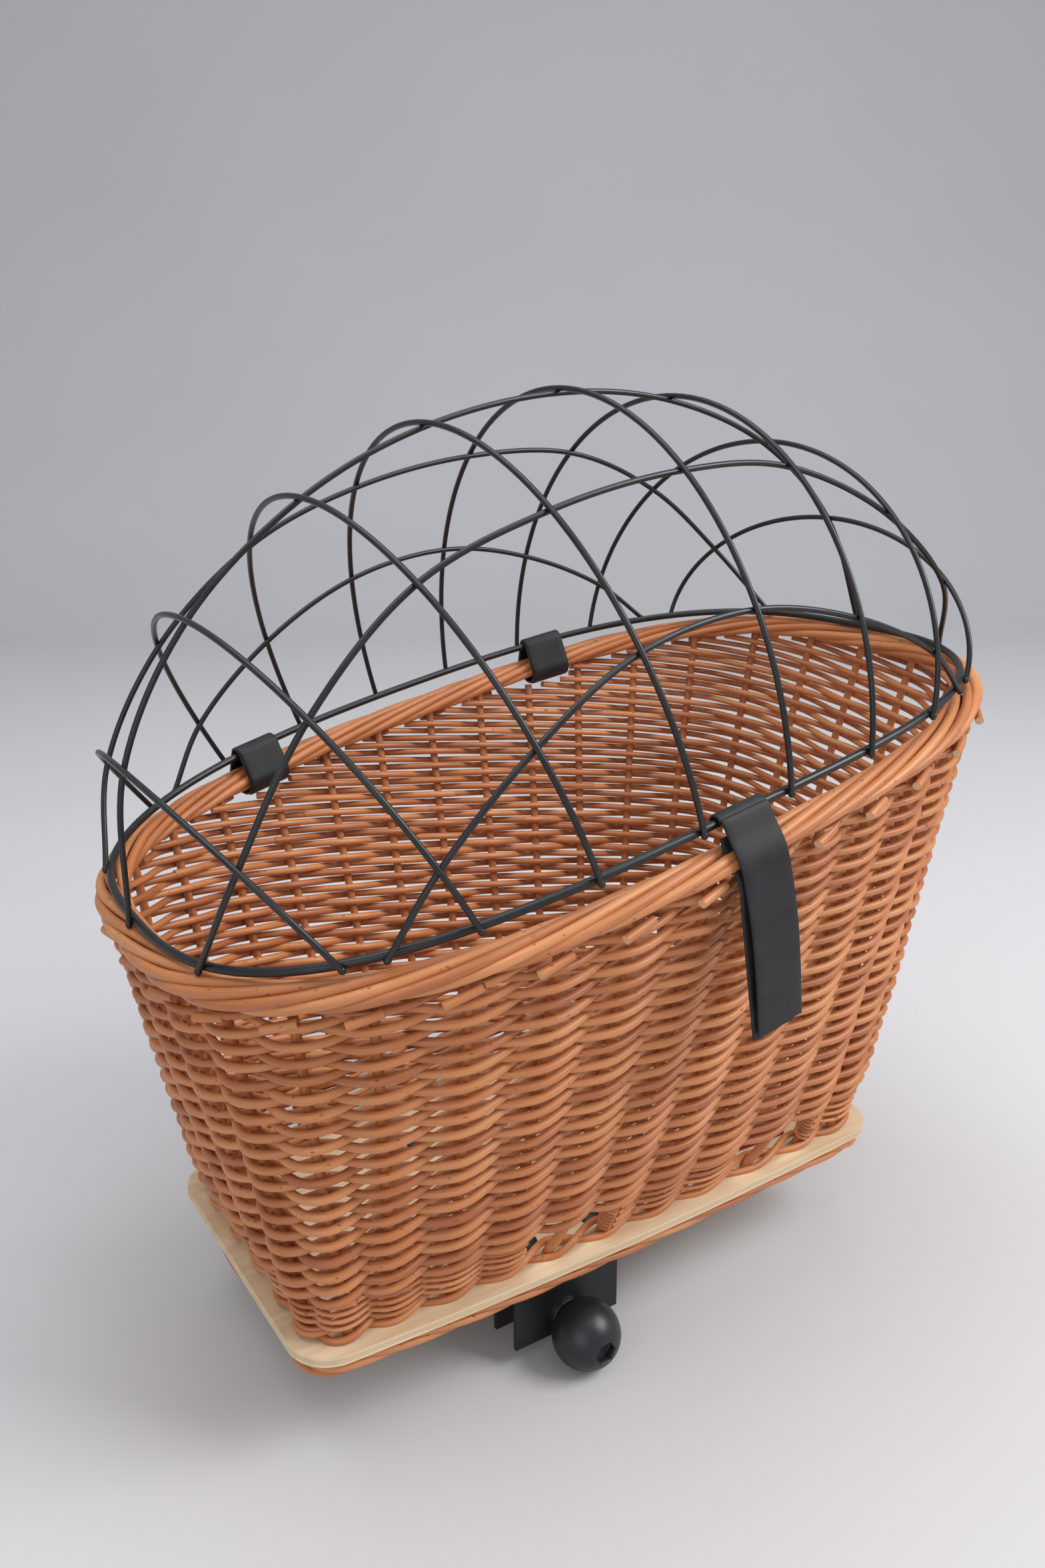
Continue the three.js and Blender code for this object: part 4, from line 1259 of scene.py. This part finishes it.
@dataclass
class Straps:
    """The two hinge straps round ring and border, and the closing strap that hangs at the front."""

    leather: bpy.types.Material
    lid: WireLid
    thickness: float = 2.2 * MM
    layer_share: float = 0.9
    hinge_width: float = 32 * MM
    hinge_slack: float = 1.25 * MM
    hinge_places: tuple[tuple[str, float], ...] = (("left", -138 * MM), ("right", 116 * MM))
    hinge_steps: int = 90
    tail_side: float = 2 * MM
    tail_share: float = 0.82
    tail_width_share: float = 0.97
    tail_offset_share: float = 0.98
    closing_width: float = 33 * MM
    closing_place: float = -4 * MM
    closing_length: float = 127 * MM
    closing_slack: float = 0.55 * MM
    closing_ragged: float = 0.5 * MM
    eye_angles: tuple[float, float] = (-130, 75)
    outer_stand: float = 3.2 * MM
    inner_stand: float = 1.6 * MM
    inner_shift: float = -2.5 * MM
    inner_width_share: float = 0.95
    outer_shares: tuple[tuple[float, float], ...] = (
        (0.30, 0.02), (0.62, -0.06), (1.0, -0.16), (1.18, -0.30), (1.25, -0.50), (1.16, -0.72), (0.95, -1.0),
    )
    inner_start_shares: tuple[float, float] = (0.35, -0.055)
    inner_shares: tuple[tuple[float, float], ...] = (
        (0.55, -0.17), (1.0, -0.22), (1.02, -0.40), (0.93, -0.70), (0.84, -1.03),
    )

    def strip(
        self,
        bundle: Bundle,
        line: Array,
        width: float,
        origin: Array,
        out: Array,
        thickness: float,
        looped: bool = False,
        ragged: float = 0.0,
    ) -> None:
        """Adds a strap of rounded section along a line.

        Args:
            bundle: Where it goes.
            line: Points as distance out and distance up, in the rim's axes.
            width: The strap's width.
            origin: The place of the line's zero, in the rim's axes.
            out: The unit vector that points outward, in the rim's axes.
            thickness: The strap's thickness.
            looped: Whether the strap closes on itself.
            ragged: How far the last end's cut wanders, on a strap that isn't looped.
        """
        along = np.array([-out[1], out[0], 0.0])
        path = origin + line[:, :1] * out + line[:, 1:] * UP
        if looped:
            tangent = unit(np.roll(path, -1, axis=0) - np.roll(path, 1, axis=0))
        else:
            tangent = unit(np.gradient(path, axis=0))
        normal = np.cross(tangent, along)
        half, edge = width / 2, thickness / 2
        flat = np.linspace(-half + edge, half - edge, 9)
        across = np.concatenate([[-half, -half + 0.4 * edge], flat, [half - 0.4 * edge, half]])
        depth = np.concatenate([[0.35, 0.8], np.ones(9), [0.8, 0.35]]) * edge
        profile = np.concatenate([np.stack([across, depth], -1), np.stack([across[::-1], -depth[::-1]], -1)])
        rows = np.broadcast_to(profile, (len(path), *profile.shape))
        sides = np.broadcast_to(self._turn(along), path.shape)
        bundle.sweep(PLAN.tilt(path), rows, sides, self._turn(normal), looped=looped)
        if ragged:
            skin, _, _ = bundle.points[-3:]
            jag = np.sin(profile[:, 0] * 900) + np.sin(profile[:, 0] * 2300 + 1)
            skin[-len(profile):] += self._turn(tangent[-1])[None] * (ragged * jag)[:, None]

    @staticmethod
    def _turn(vectors: Array) -> Array:
        """Returns directions of the rim's axes in the basket's axes."""
        return PLAN.tilt(vectors) - PLAN.tilt(np.zeros(3))

    def hinge_line(self, place: float, distance: float) -> tuple[Array, Array, Array]:
        """Returns a loop round the ring and the border at a distance, its zero and its outward vector."""
        rim = squared_ellipse(PLAN.rim_half_length, PLAN.rim_half_width, PLAN.rim_fullness)
        share = np.linspace(0.0, 0.5, 4001)
        nearest = share[np.argmin(np.abs(rim.at(share)[:, 0] - place)), None]
        width, outward = rim.at(nearest)[0, 1], rim.outward(nearest)[0]
        angle = np.linspace(0.0, TURN, 96, endpoint=False)
        circle = np.stack([np.cos(angle), np.sin(angle)], axis=-1)
        ring = np.array([self.lid.ring_width(place) - width, self.lid.ring_height(place)])
        round_ring = ring + (PLAN.ring_radius + distance) * circle
        half = np.array([PLAN.border_width / 2 + distance, PLAN.border_height / 2 + distance])
        round_border = np.array([0.0, PLAN.border_middle]) + half * circle
        loop = even_loop(convex(np.vstack([round_ring, round_border])), self.hinge_steps)
        return loop, np.array([place, width, 0.0]), np.array([outward[0], outward[1], 0.0])

    def build(self) -> None:
        """Makes the three straps."""
        for name, place in self.hinge_places:
            bundle = Bundle()
            line, origin, out = self.hinge_line(place, self.hinge_slack + self.thickness / 2)
            self.strip(bundle, line, self.hinge_width, origin, out, self.thickness, looped=True)
            inner = np.roll(line, -int(np.argmax(line[:, 1])), axis=0)
            tail = inner[inner[:, 0] < self.tail_side]
            tail = tail[:int(len(tail) * self.tail_share)] - [self.thickness * self.tail_offset_share, 0.0]
            width = self.hinge_width * self.tail_width_share
            self.strip(bundle, tail, width, origin, out, self.thickness * self.layer_share)
            node = f"hinge_strap_{name}"
            bundle.build(f"strap_hinge_{name}", self.leather, Body.BASKET, "black_leather", [node])
        self.make_closing_strap()

    def make_closing_strap(self) -> None:
        """Makes the looped strap: a straight inner layer and an outer one that bulges."""
        bore = PLAN.ring_radius + self.closing_slack + self.thickness / 2
        width = self.lid.ring_width(self.closing_place)
        reach = PLAN.rim_half_width + PLAN.border_width / 2 - width
        size = np.array([reach, self.closing_length])
        origin = np.array([self.closing_place, -width, float(self.lid.ring_height(self.closing_place))])
        eye = np.linspace(*np.radians(self.eye_angles), 12)
        loop = np.stack([bore * np.sin(eye), bore * np.cos(eye)], axis=-1)
        outer = [size * (a, b) + (self.outer_stand * min(a, 1), 0.0) for a, b in self.outer_shares]
        inner = [size * (a, b) + (self.inner_stand, 0.0) for a, b in self.inner_shares]
        bundle = Bundle()
        for line, shift, width_share in (
            (np.vstack([loop, outer]), 0.0, 1.0),
            (np.array([size * self.inner_start_shares, *inner]), self.inner_shift, self.inner_width_share),
        ):
            points = np.column_stack([line[:, 0], np.zeros(len(line)), line[:, 1]])
            self.strip(
                bundle,
                flowing_line(points, 8)[:, [0, 2]],
                self.closing_width * width_share,
                origin + np.array([shift, 0.0, 0.0]),
                np.array([0.0, -1.0, 0.0]),
                self.thickness * self.layer_share,
                ragged=self.closing_ragged,
            )
        bundle.build("strap_closing", self.leather, Body.STRAP, "black_leather", ["closing_strap"])


def convex(points: Array) -> Array:
    """Returns the convex outline of points in a plane, turning left."""
    ordered = sorted(map(tuple, points.tolist()))

    def half(chain_of: Sequence[tuple[float, float]]) -> list[tuple[float, float]]:
        """Returns the points that turn left, without the last one."""
        chain: list[tuple[float, float]] = []
        for x, y in chain_of:
            while len(chain) > 1:
                (ax, ay), (bx, by) = chain[-2:]
                if (bx - ax) * (y - ay) - (by - ay) * (x - ax) > 0:
                    break
                chain.pop()
            chain.append((x, y))
        return chain[:-1]

    return np.array(half(ordered) + half(ordered[::-1]))


def even_loop(points: Array, count: int) -> Array:
    """Returns a closed line's points at even distances."""
    line = ClosedLine(np.vstack([points, points[:1]]))
    return line.at(np.arange(count) / count)


@dataclass
class Clamp:
    """The screw clamp under the base, with its ball knob."""

    sheet: bpy.types.Material
    steel: bpy.types.Material
    plastic: bpy.types.Material
    socket_width: float = 13 * MM
    socket_depth: float = 7 * MM
    socket_lip: float = 0.7 * MM
    face_radius: float = 11 * MM
    back_bore: float = 5.2 * MM
    around: int = 96
    ball_steps: int = 40
    bolts: tuple[int, ...] = (1, 2, 3, 4)

    def build(self) -> None:
        """Dresses the clamp's nodes and makes the knob."""
        nuts = [f"clamp_nut_{number}" for number in self.bolts]
        finish_nodes(self.sheet, "clamp_bracket", "moving_jaw", bevel=0.4 * MM)
        finish_nodes(self.sheet, *(f"clamp_bolt_{number}" for number in self.bolts), bevel=0.3 * MM)
        finish_nodes(self.steel, *nuts, "jaw_nut", bevel=0.3 * MM)
        finish_nodes(self.steel, "clamp_spindle", "spindle_collar", "knob_washer", bevel=0.2 * MM)
        self.make_knob()

    def make_knob(self) -> None:
        """Makes the ball with its flat back and its hexagon socket."""
        low, high = (np.array(corner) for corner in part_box("ball_knob"))
        radius = (high[2] - low[2]) / 2
        centre = np.array([(low[0] + high[0]) / 2, low[1] + radius, (low[2] + high[2]) / 2]) - PLAN.shift
        angle = np.arange(self.around) * TURN / self.around
        apothem = self.socket_width / 2
        sector = np.mod(angle, TURN / 6) - TURN / 12
        hexagon = apothem / np.cos(sector)
        lip = self.socket_lip
        floor = np.full(self.around, radius - self.socket_depth)
        rings = [
            (hexagon * 0.02, floor),
            (hexagon * 0.9, floor),
            (hexagon, floor + 0.5 * MM),
            (hexagon, np.sqrt(radius ** 2 - hexagon ** 2) - lip),
        ]
        for share in (0.35, 0.75, 1.0):
            wide = hexagon + lip * share
            rings.append((wide, np.sqrt(radius ** 2 - wide ** 2) - lip * (1 - share) ** 2))
        start = math.asin((apothem * 1.16 + lip) / radius)
        last = math.pi - math.asin(self.face_radius / radius)
        for share in np.linspace(0.0, 1.0, self.ball_steps)[1:]:
            slope = start + (last - start) * share
            blend = max(0.0, 1 - share * 6)
            wide = radius * math.sin(slope) * (1 - blend) + (hexagon + lip + radius * (slope - start)) * blend
            wide = np.minimum(wide, radius)
            tall = np.sqrt(np.maximum(radius ** 2 - wide ** 2, 0.0)) * (1 if slope < math.pi / 2 else -1)
            rings.append((wide, tall))
        front, back = rings[0][1][0], rings[-1][1][0]
        rings.append((np.full(self.around, self.back_bore), np.full(self.around, back)))
        circle = np.stack([np.cos(angle), np.sin(angle)], axis=-1)
        path = np.repeat(centre[None], len(rings), axis=0)
        sides = np.broadcast_to([1.0, 0.0, 0.0], path.shape)
        lifts = np.broadcast_to(UP, path.shape)
        bundle = Bundle()
        bundle.sweep(path, np.stack([wide[:, None] * circle for wide, _ in rings]), sides, lifts)
        for points, depth in zip(bundle.points, (np.concatenate([tall for _, tall in rings]), front, back)):
            points[:, 1] -= depth
        bundle.build("knob_ball", self.plastic, Body.KNOB, "black_plastic", ["ball_knob"], sharp=40.0)


@dataclass
class Leash:
    """The webbing that lies on the floor of the basket."""

    webbing: bpy.types.Material
    steel: bpy.types.Material
    width: float = 30 * MM
    thickness: float = 2.5 * MM
    route: tuple[tuple[float, float], ...] = (
        (-165 * MM, -46 * MM), (-110 * MM, -53 * MM), (-60 * MM, -58 * MM), (10 * MM, -62 * MM),
        (70 * MM, -66 * MM), (115 * MM, -70 * MM), (150 * MM, -71 * MM),
    )
    ripple: float = 1.5 * MM

    def build(self) -> None:
        """Makes the webbing and dresses its screw."""
        finish_nodes(self.steel, "leash_screw", bevel=0.3 * MM)
        floor = PLAN.board_low + PLAN.board_thickness + PLAN.seat_gap
        plan = np.array([(x, y, 0.0) for x, y in self.route])
        path = flowing_line(plan, 10)
        share = np.linspace(0.0, 1.0, len(path))
        wave = self.ripple * np.sin(share * math.pi) ** 2 * (1 + np.cos(share * 6 * math.pi)) / 2
        path[:, 2] = floor + self.thickness / 2 + wave
        tangent = unit(np.gradient(path, axis=0))
        side = unit(np.cross(tangent, UP))
        half, edge = self.width / 2, self.thickness / 2
        across = np.linspace(-half, half, 15)
        depth = edge * (1 - 0.45 * np.abs(across / half) ** 6)
        profile = np.concatenate([np.stack([across, depth], -1), np.stack([across[::-1], -depth[::-1]], -1)])
        rows = np.broadcast_to(profile, (len(path), *profile.shape))
        bundle = Bundle()
        bundle.sweep(path, rows, side, np.cross(side, tangent))
        bundle.build("webbing_leash", self.webbing, Body.BASKET, "crimson_webbing", ["leash_webbing"])


@dataclass
class Set:
    """The floor, the lamps and the camera."""

    floor: bpy.types.Material
    focal_pixels: float = 1873.0
    eye: tuple[float, float, float] = (-440.1 * MM, -650.6 * MM, 211.6 * MM)
    forward: tuple[float, float, float] = (0.5175, 0.8022, -0.2979)
    right: tuple[float, float, float] = (0.8395, -0.5434, -0.0050)
    sensor: float = 36.0
    floor_near: float = -6.0
    floor_far: float = 2.4
    cove_radius: float = 1.2
    cove_steps: int = 12
    backdrop_height: float = 6.0
    half_width: float = 7.0
    lamps: tuple[tuple[str, tuple[float, float, float], float, float], ...] = (
        ("key", (1.5, -1.5, 2.1), 1.5, 62.0),
        ("top", (-0.3, 0.2, 2.6), 2.2, 34.0),
        ("fill", (-2.2, -1.6, 1.2), 2.0, 14.0),
    )
    lamp_colour: Colour = (1.0, 0.985, 0.965)
    lamp_aim: tuple[float, float, float] = (0.0, 0.0, 0.25)
    world_colour: Colour = (0.80, 0.86, 0.95)
    world_strength: float = 0.55

    def build(self) -> None:
        """Makes the stage."""
        self.make_floor()
        self.make_lamps()
        self.make_camera()

    def make_floor(self) -> None:
        """Makes a floor that turns up into a backdrop."""
        mesh = bpy.data.meshes.new("floor")
        profile = [(self.floor_near, 0.0), (self.floor_far, 0.0)]
        for step in range(1, self.cove_steps + 1):
            angle = step * math.pi / (2 * self.cove_steps)
            out = self.floor_far + self.cove_radius * math.sin(angle)
            profile.append((out, self.cove_radius * (1 - math.cos(angle))))
        profile.append((self.floor_far + self.cove_radius, self.backdrop_height))
        away = unit(np.array([self.forward[0], self.forward[1], 0.0]))
        across = np.array([away[1], -away[0], 0.0])
        edges = (-self.half_width, self.half_width)
        points = [tuple(away * out + UP * up + across * side) for out, up in profile for side in edges]
        faces = [(2 * k, 2 * k + 1, 2 * k + 3, 2 * k + 2) for k in range(len(profile) - 1)]
        mesh.from_pydata(points, [], faces)
        mesh.shade_smooth()
        mesh.materials.append(self.floor)
        floor = bpy.data.objects.new("floor", mesh)
        bpy.context.scene.collection.objects.link(floor)

    def make_lamps(self) -> None:
        """Makes a soft key from the right, a broad lamp above, a weak fill, and an even world."""
        for name, place, size, power in self.lamps:
            lamp = bpy.data.lights.new(name, "AREA")
            lamp.energy = power
            lamp.size = size
            lamp.color = self.lamp_colour
            holder = bpy.data.objects.new(name, lamp)
            holder.location = place
            aim = Vector(self.lamp_aim) - Vector(place)
            holder.rotation_euler = aim.to_track_quat("-Z", "Y").to_euler()
            bpy.context.scene.collection.objects.link(holder)
        world = bpy.data.worlds.new("studio")
        world.use_nodes = True
        background = world.node_tree.nodes["Background"]
        background.inputs["Color"].default_value = (*self.world_colour, 1.0)
        background.inputs["Strength"].default_value = self.world_strength
        bpy.context.scene.world = world

    def make_camera(self) -> None:
        """Puts the camera where the photograph was taken from."""
        wide, high = PHOTO_SIZE
        camera = bpy.data.cameras.new("camera")
        camera.sensor_fit = "VERTICAL"
        camera.sensor_height = self.sensor
        camera.lens = self.focal_pixels / high * camera.sensor_height
        camera.clip_start = 0.02
        holder = bpy.data.objects.new("camera", camera)
        back = -Vector(self.forward).normalized()
        right = Vector(self.right).normalized()
        up = back.cross(right).normalized()
        right = up.cross(back)
        turn = Matrix((right, up, back)).transposed().to_4x4()
        eye = Vector(self.eye) + Vector((0.0, 0.0, PLAN.rim_centre)) + Vector(PLAN.shift)
        holder.matrix_world = Matrix.Translation(eye) @ turn
        bpy.context.scene.collection.objects.link(holder)
        bpy.context.scene.camera = holder


def main() -> None:
    """Builds the whole basket and its set."""
    logging.basicConfig(level=logging.INFO, format="%(name)s: %(message)s")
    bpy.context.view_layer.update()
    scene = bpy.context.scene
    scene.view_settings.view_transform = "Standard"

    willow = Willow().make()
    wire = Lacquer("wire_lacquer").make()
    sheet = Lacquer("sheet_lacquer", roughness=0.4, relief=0.08 * MM).make()
    leather = Leather().make()
    steel = ZincSteel().make()
    plywood = Plywood(PLAN.board_low, PLAN.board_thickness).make()

    Weaving(willow).build()
    finish_nodes(plywood, "base_board", bevel=0.4 * MM)
    lid = WireLid(wire)
    lid.build()
    Straps(leather, lid).build()
    Clamp(sheet, steel, MouldedPlastic().make()).build()
    Leash(Webbing().make(), steel).build()
    Set(Studio().make()).build()


if __name__ == "__main__":
    main()
